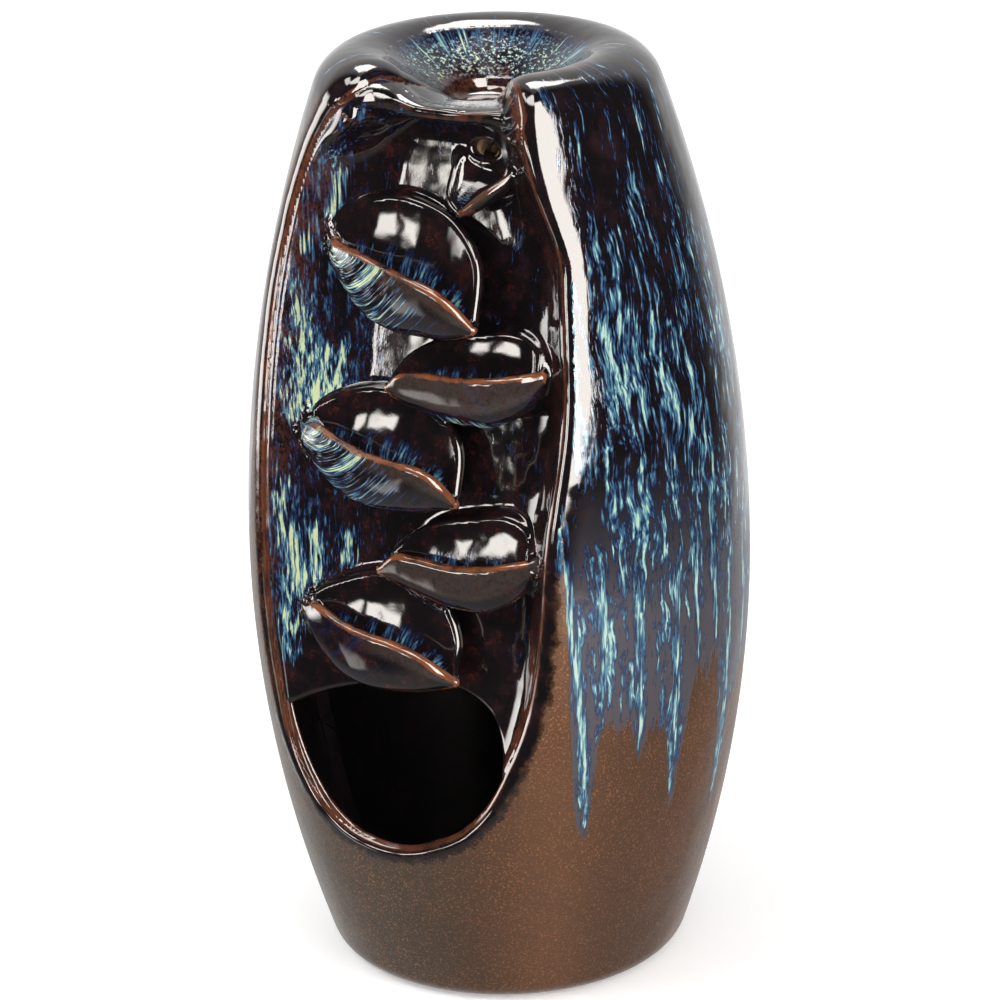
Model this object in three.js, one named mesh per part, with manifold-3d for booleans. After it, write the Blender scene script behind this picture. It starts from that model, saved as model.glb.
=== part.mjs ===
// A glazed stoneware burner for backflow incense, in millimetres, +Z up.
// The barrel stands on the XY plane with its axis on Z, and its open front faces -Y.
// Smoke sinks through the dish on top, leaves by the spout, falls from leaf to leaf and pools in the cave.
// Every clay member is its own solid, as the potter lutes them together before glazing: the barrel's wall,
// the disc that closes its foot, the panel behind the window, the cone dish, the smoke duct and six cups.
import * as THREE from "three";
import { mergeVertices } from "three/addons/utils/BufferGeometryUtils.js";
import Module from "manifold-3d";

const wasm = await Module();
wasm.setup();

// ---- Driving dimensions ----
const bodyHeight = 230; // foot to the crest of the rim
const footRadius = 43.6;
const footRound = 4; // rounding of the foot's outer edge
const bellyRadius = 61.6;
const bellyHeight = 104;
const crestRadius = 30; // where the rim is highest
const rimRoll = 12; // radius of the rim's roll, seen in section
const wall = 6.2;
const seam = 0.3; // joint left between two luted members

const baseThickness = 7;

const windowSill = 44.5; // lowest point of the window's edge
const windowAngle = 46; // degrees from the front to the window's side, on the right at its widest
const lipBand = 6; // width of the rounded band around the window, outside its crisp edge
const lipDrop = 2.6; // the crisp edge lies this far behind the outer face

const panelThickness = 5;
const panelTopSetback = 21; // from the axis forward to the panel's face, under the dish
const outletWidth = 7; // hole through the panel behind the spout
const outletHeight = 4.2;
const outletDrop = 19; // the outlet's centre, below the crest
const outletShift = 11; // and right of the middle

const caveTop = 82.4; // highest point of the cave's mouth, which is open down to the window's sill
const caveWidth = 62;
const caveShift = -5; // the cave's mouth lies left of the middle

const dishRadius = 28;
const dishEdge = 6.5; // height of the dish's edge where it shows as a brow over the window
const browDrop = 6; // the brow's lip lies this far below the rim at the back
const dishLanding = 1; // flat of the dish's underside that reaches past the panel's back
const throatRadius = 10.5; // edge of the seat for the cone
const throatDrop = 10.8; // that edge, below the crest
const throatRound = 1.2;
const seatRadius = 7; // flat ledge that carries the cone
const seatDepth = 3.6;
const seatThickness = 3.5; // clay under the ledge
const smokeHoleRadius = 2.3;

const ductWall = 1.8;
const ductDip = 7; // the duct goes down this far under the dish before it turns forward

const leafWall = 3;
const leafEnd = 0.8; // a leaf's hollow ends where half its width comes down to this
const leafPoint = 0.2; // half the thickness left at a leaf's point
const leafReach = 16.5; // from the panel's face out to the rim of the highest leaf
const leftLeafLength = 47;
const leftLeafDepth = 12; // from the level of its stem down to the keel
const leftLeafShift = -30; // stem of the left leaves, from the middle
const rightLeafLength = 39;
const rightLeafDepth = 12.5;
const rightLeafShift = 32;
const spoutWall = 2.2;
const spoutWidth = 15.5;
const spoutShift = 1.1; // its middle lies this far right of the outlet's
const spoutReach = 11;
const spoutDepth = 12.5; // its tip, below the outlet's centre

// Mesh fineness
const roundSegments = 56;
const sideSteps = 8;
const windowSteps = 42;
const cupSteps = 18;
const cupArc = 8;
const weld = 0.002;

// ---- Solids and meshes ----
const v2 = (x, y) => new THREE.Vector2(x, y);
const v3 = (x, y, z) => new THREE.Vector3(x, y, z);
const spread = (steps, make) => Array.from({ length: steps + 1 }, (_, i) => make(i / steps));
const { degToRad, mapLinear, clamp, smoothstep, lerp } = THREE.MathUtils;

function solidOf(geometry) {
  const bare = geometry.index ? geometry.toNonIndexed() : geometry.clone();
  bare.deleteAttribute("normal");
  bare.deleteAttribute("uv");
  const merged = mergeVertices(bare, 1e-4);
  const triVerts = new Uint32Array(merged.index.array);
  const vertProperties = new Float32Array(merged.attributes.position.array);
  const solid = new wasm.Manifold(new wasm.Mesh({ numProp: 3, vertProperties, triVerts }));
  if (solid.volume() >= 0) return solid;
  for (let i = 0; i < triVerts.length; i += 3) {
    [triVerts[i], triVerts[i + 1]] = [triVerts[i + 1], triVerts[i]];
  }
  return new wasm.Manifold(new wasm.Mesh({ numProp: 3, vertProperties, triVerts }));
}

// A solid's skin as a mesh. Points closer than the weld fall together, and the slivers between them go.
function geometryOf(solid) {
  const { vertProperties, triVerts } = solid.asOriginal().getMesh();
  const raw = new THREE.BufferGeometry();
  raw.setAttribute("position", new THREE.BufferAttribute(new Float32Array(vertProperties), 3));
  raw.setIndex(Array.from(triVerts));
  const welded = mergeVertices(raw, weld);
  const faces = [];
  for (let i = 0; i < welded.index.count; i += 3) {
    const [a, b, c] = welded.index.array.slice(i, i + 3);
    if (a !== b && b !== c && c !== a) faces.push(a, b, c);
  }
  welded.setIndex(faces);
  welded.computeVertexNormals();
  return welded;
}

// A solid of revolution about Z from a profile that closes on itself or ends on the axis.
function turned(profile) {
  return solidOf(new THREE.LatheGeometry(profile, roundSegments).rotateX(Math.PI / 2));
}

// An outline in X and Z, driven along Y from one depth to another.
function driven(outline, from, to) {
  const geometry = new THREE.ExtrudeGeometry(new THREE.Shape(outline), { depth: to - from, bevelEnabled: false });
  return solidOf(geometry.rotateX(Math.PI / 2).translate(0, to, 0));
}

// A skin over rings of points. It has capped ends, or runs back into its first ring when it is a loop.
function lofted(rings, loop = false) {
  const positions = [];
  const face = (a, b, c) => positions.push(...a.toArray(), ...b.toArray(), ...c.toArray());
  const count = rings[0].length;
  const spans = loop ? rings.length : rings.length - 1;
  for (let j = 0; j < spans; j++) {
    const near = rings[j];
    const far = rings[(j + 1) % rings.length];
    for (let i = 0; i < count; i++) {
      const next = (i + 1) % count;
      face(near[i], near[next], far[next]);
      face(near[i], far[next], far[i]);
    }
  }
  const cap = (ring, turn) => {
    const middle = ring.reduce((sum, p) => sum.add(p), v3(0, 0, 0)).divideScalar(count);
    for (let i = 0; i < count; i++) {
      const pair = [ring[i], ring[(i + 1) % count]];
      face(middle, pair[turn], pair[1 - turn]);
    }
  };
  if (!loop) {
    cap(rings[0], 1);
    cap(rings[rings.length - 1], 0);
  }
  const geometry = new THREE.BufferGeometry();
  geometry.setAttribute("position", new THREE.Float32BufferAttribute(positions, 3));
  return solidOf(geometry);
}

// ---- The barrel ----
// The side swells from the foot to the belly and draws in to the roll of the rim, on two parabolas.
const rollHeight = bodyHeight - rimRoll;
const rollStart = degToRad(18.5); // the side runs into the roll here, on the roll's circle
const rollPoint = (angle, radius = rimRoll) =>
  v2(crestRadius + radius * Math.cos(angle), rollHeight + radius * Math.sin(angle));
const shoulder = rollPoint(rollStart);

function radiusAt(height) {
  const end = height < bellyHeight ? v2(footRadius, 0) : shoulder;
  const share = (clamp(height, 0, shoulder.y) - bellyHeight) / (end.y - bellyHeight);
  return bellyRadius - (bellyRadius - end.x) * share * share;
}
const innerRadiusAt = (height) => radiusAt(height) - wall;

// Points down the inner face, from the roll to a height above the foot, set in by a clearance.
function innerFace(foot, clearance) {
  return [
    ...spread(3, (t) => rollPoint(lerp(Math.PI / 2, rollStart, t), rimRoll - wall - clearance)),
    ...spread(2 * sideSteps - 4, (t) => lerp(shoulder.y - wall, foot, t)).map((z) =>
      v2(innerRadiusAt(z) - clearance, z),
    ),
  ];
}

function barrelWall() {
  const mouth = dishRadius + seam;
  const mouthAngle = Math.acos((mouth - crestRadius) / rimRoll);
  const outer = [
    v2(footRadius - footRound, 0),
    v2(footRadius - footRound * 0.3, footRound * 0.2),
    ...spread(sideSteps, (t) => lerp(footRound, bellyHeight, t)).map((z) => v2(radiusAt(z), z)),
    ...spread(sideSteps, (t) => lerp(bellyHeight, shoulder.y, t)).slice(1).map((z) => v2(radiusAt(z), z)),
    ...spread(6, (t) => rollPoint(lerp(rollStart, mouthAngle, t))).slice(1),
  ];
  const inner = innerFace(0, 0);
  return turned([...outer, v2(mouth, inner[0].y), ...inner, outer[0]]);
}

// The room inside the barrel, less a joint all round. What is luted inside is trimmed to it.
function insideRoom() {
  const face = innerFace(baseThickness, seam);
  return turned([v2(0, face[0].y), ...face, v2(0, baseThickness)]);
}

function baseDisc() {
  const edge = [0, baseThickness].map((z) => v2(innerRadiusAt(z) - seam, z));
  return turned([v2(0, 0), ...edge, v2(0, baseThickness)]);
}

// ---- The window in the front of the barrel ----
// Its crisp edge up each side: share of the window's angle, and share of the height from sill to crest.
const windowRight = [[0.34, 0.027], [0.61, 0.11], [0.74, 0.18], [0.83, 0.32], [0.95, 0.53], [1, 0.7], [0.98, 0.83]];
const windowRightTop = [[0.9, 0.95], [0.86, 1.06]];
const windowLeft = [[0.34, 0.018], [0.6, 0.048], [0.77, 0.11], [0.88, 0.26], [0.96, 0.55], [1.06, 0.71], [1.04, 0.81]];
const windowLeftTop = [[0.95, 0.88], [0.79, 0.932], [0.58, 0.984], [0.46, 1.06]];

function windowOutline() {
  const place = (side) => ([angle, share]) => v2(side * angle * windowAngle, lerp(windowSill, bodyHeight, share));
  const left = [...windowLeft, ...windowLeftTop].map(place(-1));
  const right = [...windowRight, ...windowRightTop].map(place(1));
  return new THREE.SplineCurve([...left.reverse(), v2(0, windowSill), ...right]).getPoints(windowSteps);
}

// A point in the wall's own terms: degrees from the front, height, and distance out from the outer face.
function wallPoint(angle, height, out) {
  const turn = degToRad(angle);
  const radius = radiusAt(height) + out;
  return v3(radius * Math.sin(turn), -radius * Math.cos(turn), height);
}

// The window as a plug. Behind its crisp edge it is a radial cut, and in front it opens out on a quarter ellipse.
function windowPlug() {
  const edge = windowOutline();
  const flareAt = (share) => lipBand * (1 - Math.sqrt(1 - share * share));
  const lip = spread(4, (t) => [lerp(-lipDrop, 0, t), flareAt(t)]);
  const clear = [lipBand, 2 * bellyRadius].map((out) => [out, lipBand * 1.4]);
  const depths = [[throatRadius - shoulder.x, 0], [-wall - lipDrop, 0], ...lip, ...clear];
  const top = bodyHeight + 2 * rimRoll;
  return lofted(
    depths.map(([out, flare]) => {
      const ring = edge.map((p, i) => {
        const before = edge[Math.max(0, i - 1)];
        const after = edge[Math.min(edge.length - 1, i + 1)];
        const perDegree = degToRad(radiusAt(p.y));
        const along = v2((after.x - before.x) * perDegree, after.y - before.y).normalize();
        return wallPoint(p.x + (flare * along.y) / perDegree, p.y - flare * along.x, out);
      });
      return [ring[0].clone().setZ(top), ...ring, ring[ring.length - 1].clone().setZ(top)];
    }),
  );
}

// ---- The panel behind the window ----
// Its face leans forward on the way down, from under the dish to the window's sill. Share down, share forward.
const panelLean = [[-0.08, 0], [0.04, 0.01], [0.18, 0.2], [0.42, 0.45], [0.66, 0.64], [0.8, 0.77], [1, 1], [1.1, 1.12]];
const panelTop = bodyHeight - browDrop - dishEdge - seam;
const panelFootSetback = innerRadiusAt(windowSill) - seam; // there its face meets the barrel's inner face

const panelCurve = new THREE.SplineCurve(
  panelLean.map(([down, forward]) =>
    v2(-lerp(panelTopSetback, panelFootSetback, forward), lerp(panelTop, windowSill, down)),
  ),
);
const panelFace = panelCurve.getPoints(24);

// Y of the panel's face at a height.
function panelY(height) {
  const i = Math.max(1, panelFace.findIndex((p) => p.y <= height));
  const [high, low] = [panelFace[i - 1], panelFace[i]];
  return mapLinear(height, high.y, low.y, high.x, low.x);
}

// A slab that follows the panel's face, between two distances behind it.
function panelSlab(front, back) {
  const across = bellyRadius + wall;
  const side = [...panelFace.map((p) => v2(p.x + front, p.y)), ...panelFace.map((p) => v2(p.x + back, p.y)).reverse()];
  return lofted([-across, across].map((x) => side.map((p) => v3(x, p.x, p.y))));
}

// The cave's mouth: share of half its width from its own middle, and share of the way from its top down to the foot.
const caveOutline = [[1, 0.14], [0.88, 0.04], [0.5, 0], [0, 0.02], [-0.6, 0.08], [-1.1, 0.17], [-1.35, 0.4],
  [-1.4, 1], [1.4, 1], [1.3, 0.4], [1.15, 0.23]];

function caveMouth() {
  const points = caveOutline.map(([x, down]) => v2(caveShift + (x * caveWidth) / 2, caveTop * (1 - down)));
  return new THREE.SplineCurve([...points, points[0]]).getPoints(36).slice(1);
}

const outletHeightAt = bodyHeight - outletDrop;

function cascadePanel(room) {
  const oval = new THREE.EllipseCurve(outletShift, outletHeightAt, outletWidth / 2, outletHeight / 2).getPoints(16);
  const cave = driven(caveMouth(), -bellyRadius, -panelTopSetback);
  const outlet = driven(oval.slice(1), -bellyRadius, 0);
  const belowDish = turned([v2(0, 0), v2(bellyRadius, 0), v2(bellyRadius, panelTop), v2(0, panelTop)]);
  return panelSlab(0, panelThickness).intersect(room).intersect(belowDish).subtract(cave).subtract(outlet);
}

// ---- The cone dish ----
const seatHeight = bodyHeight - throatDrop - seatDepth;
const dishUnderside = seatHeight - seatThickness;

// How far the rim is drawn down at an angle from the front: fully over the window, easing out on the left
// and stepping up on the right.
function browDip(angle) {
  const left = smoothstep(angle, -0.92 * windowAngle, -0.07 * windowAngle);
  const right = 1 - smoothstep(angle, 0.7 * windowAngle, 0.95 * windowAngle);
  return browDrop * left * right;
}

function coneDish() {
  const throat = v2(throatRadius, bodyHeight - throatDrop);
  const edgeAngle = Math.acos((dishRadius - crestRadius) / rimRoll);
  const top = [
    v2(smokeHoleRadius, seatHeight),
    v2(seatRadius, seatHeight),
    v2(lerp(seatRadius, throatRadius, 0.75), lerp(seatHeight, throat.y, 0.3)),
    v2(throatRadius - throatRound * 0.3, throat.y - throatRound * 0.75),
    v2(throatRadius + throatRound, throat.y + throatRound * 0.3),
    ...spread(3, (t) => rollPoint(lerp(degToRad(121), edgeAngle, t))),
  ];
  const under = [
    v2(dishRadius, panelTop + seam),
    v2(panelTopSetback - panelThickness - dishLanding, panelTop + seam),
    v2(throatRadius + throatRound, dishUnderside),
    v2(smokeHoleRadius, dishUnderside),
  ];
  const rings = spread(roundSegments, (t) => lerp(-180, 180, t)).slice(1).map((angle) => {
    const section = [
      ...top.map((p) => {
        const share = clamp((p.x - throatRadius) / (dishRadius - throatRadius), 0, 1);
        return v2(p.x, p.y - browDip(angle) * share);
      }),
      ...under,
    ];
    const turn = degToRad(angle);
    return section.map((p) => v3(p.x * Math.sin(turn), -p.x * Math.cos(turn), p.y));
  });
  return lofted(rings, true);
}

// ---- The smoke duct, from under the dish to the back of the panel ----
function smokeDuct() {
  const end = v3(outletShift, panelY(outletHeightAt) + panelThickness / 2, outletHeightAt);
  const start = v3(0, 0, dishUnderside - seam);
  const path = new THREE.CubicBezierCurve3(
    start,
    v3(0, 0, start.z - ductDip - smokeHoleRadius),
    v3(end.x, lerp(end.y, 0, 0.6), end.z - ductDip * 0.6),
    end,
  );
  const ring = new THREE.Shape().absarc(0, 0, smokeHoleRadius + ductWall);
  ring.holes.push(new THREE.Path().absarc(0, 0, smokeHoleRadius));
  const tube = solidOf(new THREE.ExtrudeGeometry(ring, { steps: 14, curveSegments: 6, extrudePath: path }));
  return tube.subtract(panelSlab(0, panelThickness + seam));
}

// ---- The leaf cups ----
// A cup runs from its stem to its tip along three guides: the rim at its back, its keel and the rim at its front.
// Each station is a half ellipse through the three, and the hollow is the same form, one wall smaller.
function cup(guides, thickness) {
  const curves = guides.map((points) => new THREE.CatmullRomCurve3(points));
  const frameAt = (s) => {
    const [back, keel, front] = curves.map((curve) => curve.getPoint(s));
    const middle = back.clone().lerp(front, 0.5);
    return { middle, out: back.sub(middle), down: keel.sub(middle) };
  };
  const ring = ({ middle, out, down }, inset, lift) => {
    const side = out.clone().setLength(Math.max(leafPoint, out.length() - inset));
    const deep = down.clone().setLength(Math.max(leafPoint, down.length() - inset));
    const arc = spread(cupArc, (t) => {
      const spoke = side.clone().multiplyScalar(Math.cos(Math.PI * t));
      return spoke.add(deep.clone().multiplyScalar(Math.sin(Math.PI * t))).add(middle);
    });
    const rise = deep.clone().setLength(-lift);
    return lift ? [arc[0].clone().add(rise), ...arc, arc[cupArc].clone().add(rise)] : arc;
  };
  const stations = spread(cupSteps, (t) => frameAt(lerp(0.012, 0.985, t)));
  const hollow = stations.filter(({ out, down }) => Math.min(out.length(), down.length()) > thickness + leafEnd);
  const shell = lofted(stations.map((frame) => ring(frame, 0, 0)));
  return shell.subtract(lofted(hollow.map((frame) => ring(frame, thickness, 4 * thickness))));
}

// Guide points as shares of a leaf's length, its reach from the panel, and its depth above or below the stem.
const leftLeafGuides = [
  [[0, 0, 0], [0.07, -0.08, 0.62], [0.33, -0.08, 1.08], [0.62, -0.06, 0.75], [0.86, 0.2, 0.1], [1, 0.9, -0.8]],
  [[0, 0.02, -0.08], [0.08, 0.12, -0.5], [0.26, 0.32, -0.92], [0.5, 0.48, -1.02], [0.76, 0.66, -0.96], [1, 0.9, -0.9]],
  [[0, 0, 0], [0.12, 0.26, 0.16], [0.33, 0.64, 0.08], [0.58, 0.95, 0], [0.84, 1.04, -0.28], [1, 0.9, -0.8]],
];
const rightLeafGuides = [
  [[0, 0.2, 0], [0.08, -0.1, 0.32], [0.3, -0.1, 0.54], [0.58, -0.1, 0.36], [0.85, 0.05, 0], [1, 0.62, -0.62]],
  [[0, 0.2, -0.1], [0.08, 0.3, -0.6], [0.28, 0.5, -1], [0.5, 0.56, -0.98], [0.76, 0.55, -0.84], [1, 0.62, -0.72]],
  [[0, 0.2, 0], [0.06, 0.72, -0.02], [0.24, 1, -0.08], [0.52, 1, -0.2], [0.82, 0.84, -0.34], [1, 0.62, -0.62]],
];

// Each leaf's stem as a share of the way from the cave's top up to the outlet, and its reach as a share of leafReach.
const leftLeaves = { upper: [0.788, 1], middle: [0.469, 0.97], lower: [0.123, 0.79] };
const rightLeaves = { upper: [0.631, 0.79], lower: [0.288, 0.73] };
const leafLean = 0.6; // share of the panel's lean that a leaf's back follows

function leafAt(shift, side, guides, length, depth, [rise, share]) {
  const height = lerp(caveTop, outletHeightAt, rise);
  const stem = v3(shift, panelY(height), height);
  const place = ([along, out, up]) => {
    const z = stem.z + up * depth;
    const back = lerp(stem.y, panelY(z), leafLean);
    return v3(stem.x + side * along * length, back - out * share * leafReach, z);
  };
  return cup(guides.map((guide) => guide.map(place)), leafWall);
}

function spoutCup() {
  const place = ([across, out, up]) =>
    v3(outletShift + spoutShift + (across * spoutWidth) / 2, panelY(outletHeightAt) - out * spoutReach,
      outletHeightAt + up * spoutDepth);
  const guides = [
    [[-1, -0.1, 0], [-1.02, 0.3, -0.42], [-0.85, 0.7, -0.8], [-0.3, 1, -1]],
    [[0, -0.1, -0.62], [0.02, 0.3, -0.86], [-0.1, 0.7, -1.04], [-0.3, 1, -1.06]],
    [[1, -0.1, -0.06], [1.02, 0.3, -0.2], [0.62, 0.8, -0.5], [-0.3, 1, -1]],
  ];
  return cup(guides.map((guide) => guide.map(place)), spoutWall);
}

// ---- Assembly ----
const glaze = { color: 0x15100e, roughness: 0.12, metalness: 0 };
const clay = { color: 0x5b3420, roughness: 0.55, metalness: 0 };
const burner = new THREE.Group();

function add(name, solid, finish) {
  const mesh = new THREE.Mesh(geometryOf(solid), new THREE.MeshStandardMaterial(finish));
  mesh.name = name;
  burner.add(mesh);
}

const room = insideRoom();
const luting = panelSlab(-seam, 3 * panelThickness); // the panel and its joint, which a leaf's back is pressed to
const trimmed = (leaf) => leaf.intersect(room).subtract(luting);

add("vessel", barrelWall().subtract(windowPlug()), glaze);
add("base_disc", baseDisc(), clay);
add("cascade_panel", cascadePanel(room), glaze);
add("cone_dish", coneDish(), glaze);
add("smoke_duct", smokeDuct(), clay);
add("spout_leaf", trimmed(spoutCup()), glaze);
for (const [place, shares] of Object.entries(leftLeaves)) {
  const leaf = leafAt(leftLeafShift, 1, leftLeafGuides, leftLeafLength, leftLeafDepth, shares);
  add(`left_leaf_${place}`, trimmed(leaf), glaze);
}
for (const [place, shares] of Object.entries(rightLeaves)) {
  const leaf = leafAt(rightLeafShift, -1, rightLeafGuides, rightLeafLength, rightLeafDepth, shares);
  add(`right_leaf_${place}`, trimmed(leaf), glaze);
}

export default burner;
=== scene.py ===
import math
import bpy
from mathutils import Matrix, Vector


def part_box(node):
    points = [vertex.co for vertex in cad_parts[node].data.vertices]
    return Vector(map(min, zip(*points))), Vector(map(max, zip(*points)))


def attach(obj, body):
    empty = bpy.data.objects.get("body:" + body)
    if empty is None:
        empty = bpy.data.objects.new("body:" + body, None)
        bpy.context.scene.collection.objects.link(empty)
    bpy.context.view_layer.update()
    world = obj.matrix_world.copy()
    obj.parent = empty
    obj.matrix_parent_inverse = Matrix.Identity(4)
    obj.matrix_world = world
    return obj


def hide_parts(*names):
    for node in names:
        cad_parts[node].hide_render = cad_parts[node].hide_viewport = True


bl_info = {
    "name": "Backflow burner",
    "version": (1, 0, 0),
    "blender": (4, 5, 0),
    "location": "View3D > Sidebar > Burner",
    "description": "Builds a glazed stoneware backflow burner on its fixed frame",
    "category": "Object",
}

import bpy
import numpy as np
from bpy.props import FloatProperty, FloatVectorProperty, PointerProperty
from mathutils import Matrix, Vector

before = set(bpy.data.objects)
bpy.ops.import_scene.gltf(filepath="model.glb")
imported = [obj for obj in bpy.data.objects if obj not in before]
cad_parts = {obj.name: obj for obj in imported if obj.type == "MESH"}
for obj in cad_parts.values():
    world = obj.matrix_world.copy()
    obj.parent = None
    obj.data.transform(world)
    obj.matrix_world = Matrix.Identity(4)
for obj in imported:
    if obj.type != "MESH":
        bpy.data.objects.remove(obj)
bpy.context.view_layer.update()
MM = 0.001
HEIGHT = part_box("vessel")[1].z / MM

# ---- The burner's own lines, in millimetres ----
# Heights are from the foot. Angles are in degrees from the front, to the right of someone who faces it.
BELLY_RADIUS, BELLY_HEIGHT = 61.6, 104.0
FOOT_RADIUS, FOOT_ROUND = 43.6, 4.0
CREST_RADIUS, RIM_ROLL = 30.0, 12.0
ROLL_HEIGHT = HEIGHT - RIM_ROLL
ROLL_START, ROLL_END = math.radians(18.5), math.radians(121)
SHOULDER = (CREST_RADIUS + RIM_ROLL * math.cos(ROLL_START), ROLL_HEIGHT + RIM_ROLL * math.sin(ROLL_START))
BELOW_BELLY = (BELLY_RADIUS - FOOT_RADIUS) / BELLY_HEIGHT**2
ABOVE_BELLY = (BELLY_RADIUS - SHOULDER[0]) / (SHOULDER[1] - BELLY_HEIGHT) ** 2
WALL, PANEL_THICK, THIN_WALL = 6.2, 5.0, 2.0
CAVE_CUT = 2.4  # how far the cave's mouth cuts into the barrel's wall
LIP_BAND, LIP_DROP = 6.0, 2.6
DISH_RADIUS, DISH_UNDER, BROW_DIP, THROAT, THROAT_FOOT = 28.0, 217.9, 6.0, 10.5, 211.0
BROW_FACE, BROW_LEAN = 27.2, 0.35  # how far the brow's lower edge stands in front of the axis, and its slope
BROW_COSINE = 0.944
DUCT_HOLE = 2.3
OUTLET = (11.0, 211.2, 3.5, 2.1)  # X, height, half width, half height
CELL, QUICK_CELL = 0.62, 1.15  # size of the mesh cells
MOST_FACES = 98000  # triangles in one side of a piece's skin

# ---- Numbers for the glaze and the studio ----
UNROLL_FROM = 41.5  # radius inside which a run's path turns in over the rim
UNROLL_RADIUS = 57.3  # a circle on which one millimetre is one degree
GLAZE_IOR, WARM_GLOSS = 1.52, (1.0, 0.95, 0.89, 1.0)
CAMERA_SHIFT, CAMERA_CLIP, SENSOR = (0.00129, -0.00187), (0.05, 50), 36
CAMERA_AZIMUTH, LAMP_SIZE, FLOOR_GLOW = 29.5, 0.9, 0.3

# The window's crisp edge, from the top left down and round to the top right: angle, height.
WINDOW_EDGE = [
    (-20, 262), (-21, 246), (-23, 234), (-26.5, 227), (-31.5, 221.5), (-36.5, 217), (-41, 212), (-44.6, 206),
    (-47, 199), (-48.6, 190), (-48.9, 176), (-45, 150), (-42.6, 123.8), (-41, 98), (-38.6, 78), (-35.2, 63.7),
    (-27.5, 52.9), (-19, 47.3), (-10.2, 44.7), (2.9, 44.6), (15.5, 49.4), (23.1, 56), (28, 64.6), (33.4, 78),
    (36.3, 91), (38, 107), (39.4, 123), (41.5, 135), (43.9, 147), (45.6, 158), (46.4, 170), (47.2, 181),
    (47.7, 188), (46.9, 194), (44.8, 199.5), (42.2, 206), (40.2, 214), (39.8, 226), (39.7, 238), (39.5, 262)]
# The panel's face: height, depth in front of the axis.
PANEL_LINE = [
    (20, 55.5), (30, 53), (49, 48.6), (65, 45.6), (78, 42.6), (100, 39.2), (120, 36.8), (140, 34), (160, 30.6),
    (180, 27), (200, 23), (210, 21.6), (217, 21.2), (250, 21)]
# The dish from its seat to the start of the rim's roll: radius, height.
DISH_LINE = [
    (-3, 215.6), (0, 215.6), (5.2, 215.65), (7.4, 215.95), (8.9, 216.9), (9.8, 218), (10.6, 219.1),
    (11.9, 220.1), (14, 221.6), (18, 224.3), (21, 226.3), (23.82, 228.286), (27, 229.6)]
# The cave's mouth, from its right side over the top to its left: X, height.
CAVE_LINE = [
    (34, 20), (31, 46), (28.4, 58), (25.4, 67), (22.4, 74.4), (18.2, 79.4), (11.2, 82.4), (2, 82.4), (-7, 81),
    (-17, 78.4), (-27, 75), (-35, 71), (-41.5, 66), (-50, 50), (-54, 20)]

# How far the glaze ran down the barrel: angle, height.
DRIP_LINE = [
    (0, 150), (40, 150), (42, 135), (43.5, 100), (45, 62), (46.5, 52), (48.3, 49), (50, 60), (51, 75),
    (53, 80), (55, 76), (58, 79), (60.3, 74), (61.7, 66), (62.8, 73), (66, 76), (69, 72), (71, 62),
    (72.7, 50.5), (74.3, 58), (76, 74), (79.5, 86), (83, 84), (86, 88), (89, 72), (91.5, 50), (93.5, 42),
    (95, 52), (97, 66), (100, 74), (108, 80), (114, 70), (118, 52), (121, 47), (124, 60), (130, 78), (138, 84),
    (146, 70), (150, 46), (153, 58), (160, 76), (168, 80), (174, 60), (177, 50), (181, 68), (190, 82),
    (198, 76), (203, 52), (206, 44), (210, 62), (220, 80), (228, 78), (232, 60), (236, 55), (240, 70),
    (250, 84), (258, 70), (262, 48), (266, 58), (275, 78), (284, 70), (290, 55), (295, 72), (305, 90),
    (312, 140), (318, 200), (360, 200)]
# Thick streams of glaze on the panel: X, height, half width.
PANEL_STREAMS = [
    [(-30.4, 209, 0.8), (-31, 202.4, 1.3), (-32.2, 198.7, 1.4), (-32.4, 194.7, 1.1), (-32.3, 189, 1.2),
     (-32.6, 186, 1.6)],
    [(-24.8, 209, 0.2), (-25.6, 204, 0.6), (-26.1, 198, 0.4), (-26.8, 194, 0.1)],
    [(-38.3, 183.7, 0.8), (-36.3, 179.5, 1.2), (-34.6, 173.6, 1.1), (-33.3, 167, 1.1), (-32.4, 161, 0.9),
     (-32.8, 153, 1.0), (-32.9, 146, 1.2)],
    [(-39.9, 178.6, 0.5), (-40.1, 173, 0.8), (-39.3, 169.6, 0.9), (-37, 165, 1.0), (-34.5, 159.6, 0.8)],
    [(-23.4, 160, 0.1), (-24, 154.6, 0.4), (-24.2, 149, 0.3)],
    [(-27.6, 160, 0.2), (-27.2, 153.4, 0.5), (-25.8, 148.5, 0.3)],
    [(-30.9, 159.5, 0.2), (-29.4, 152.4, 0.5), (-29.1, 148, 0.3)],
    [(-36.8, 156, 0.5), (-36.2, 149.7, 0.9), (-34.3, 144.5, 1.0)],
    [(-38.8, 134, 0.1), (-37.3, 129, 0.7), (-36.5, 121.7, 1.0), (-34.3, 114.6, 1.0), (-32.4, 107.5, 1.1),
     (-31.7, 102, 0.8)],
    [(-28.4, 116, 0.1), (-27.7, 109.5, 0.4), (-27.6, 105, 0.2)],
    [(-20.5, 115, 0.0), (-20.7, 110, 0.3)],
    [(-33.8, 107, 0.6), (-34.9, 97, 0.8), (-33.4, 90, 0.6)],
    [(-36.3, 94, 0.2), (-34.2, 87, 0.5), (-35.2, 83.4, 0.2)],
]
# Thick streams on the barrel: angle, height, half width.
BARREL_STREAMS = [
    [(49, 180, 0.1), (48.6, 165, 0.5), (48.4, 150, 0.6), (47.6, 143, 0.2)],
    [(42.6, 138, 0.1), (43.6, 120, 0.6), (45.5, 95, 0.5), (47.6, 66, 0.4), (48.3, 52, 0.3)],
]
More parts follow.
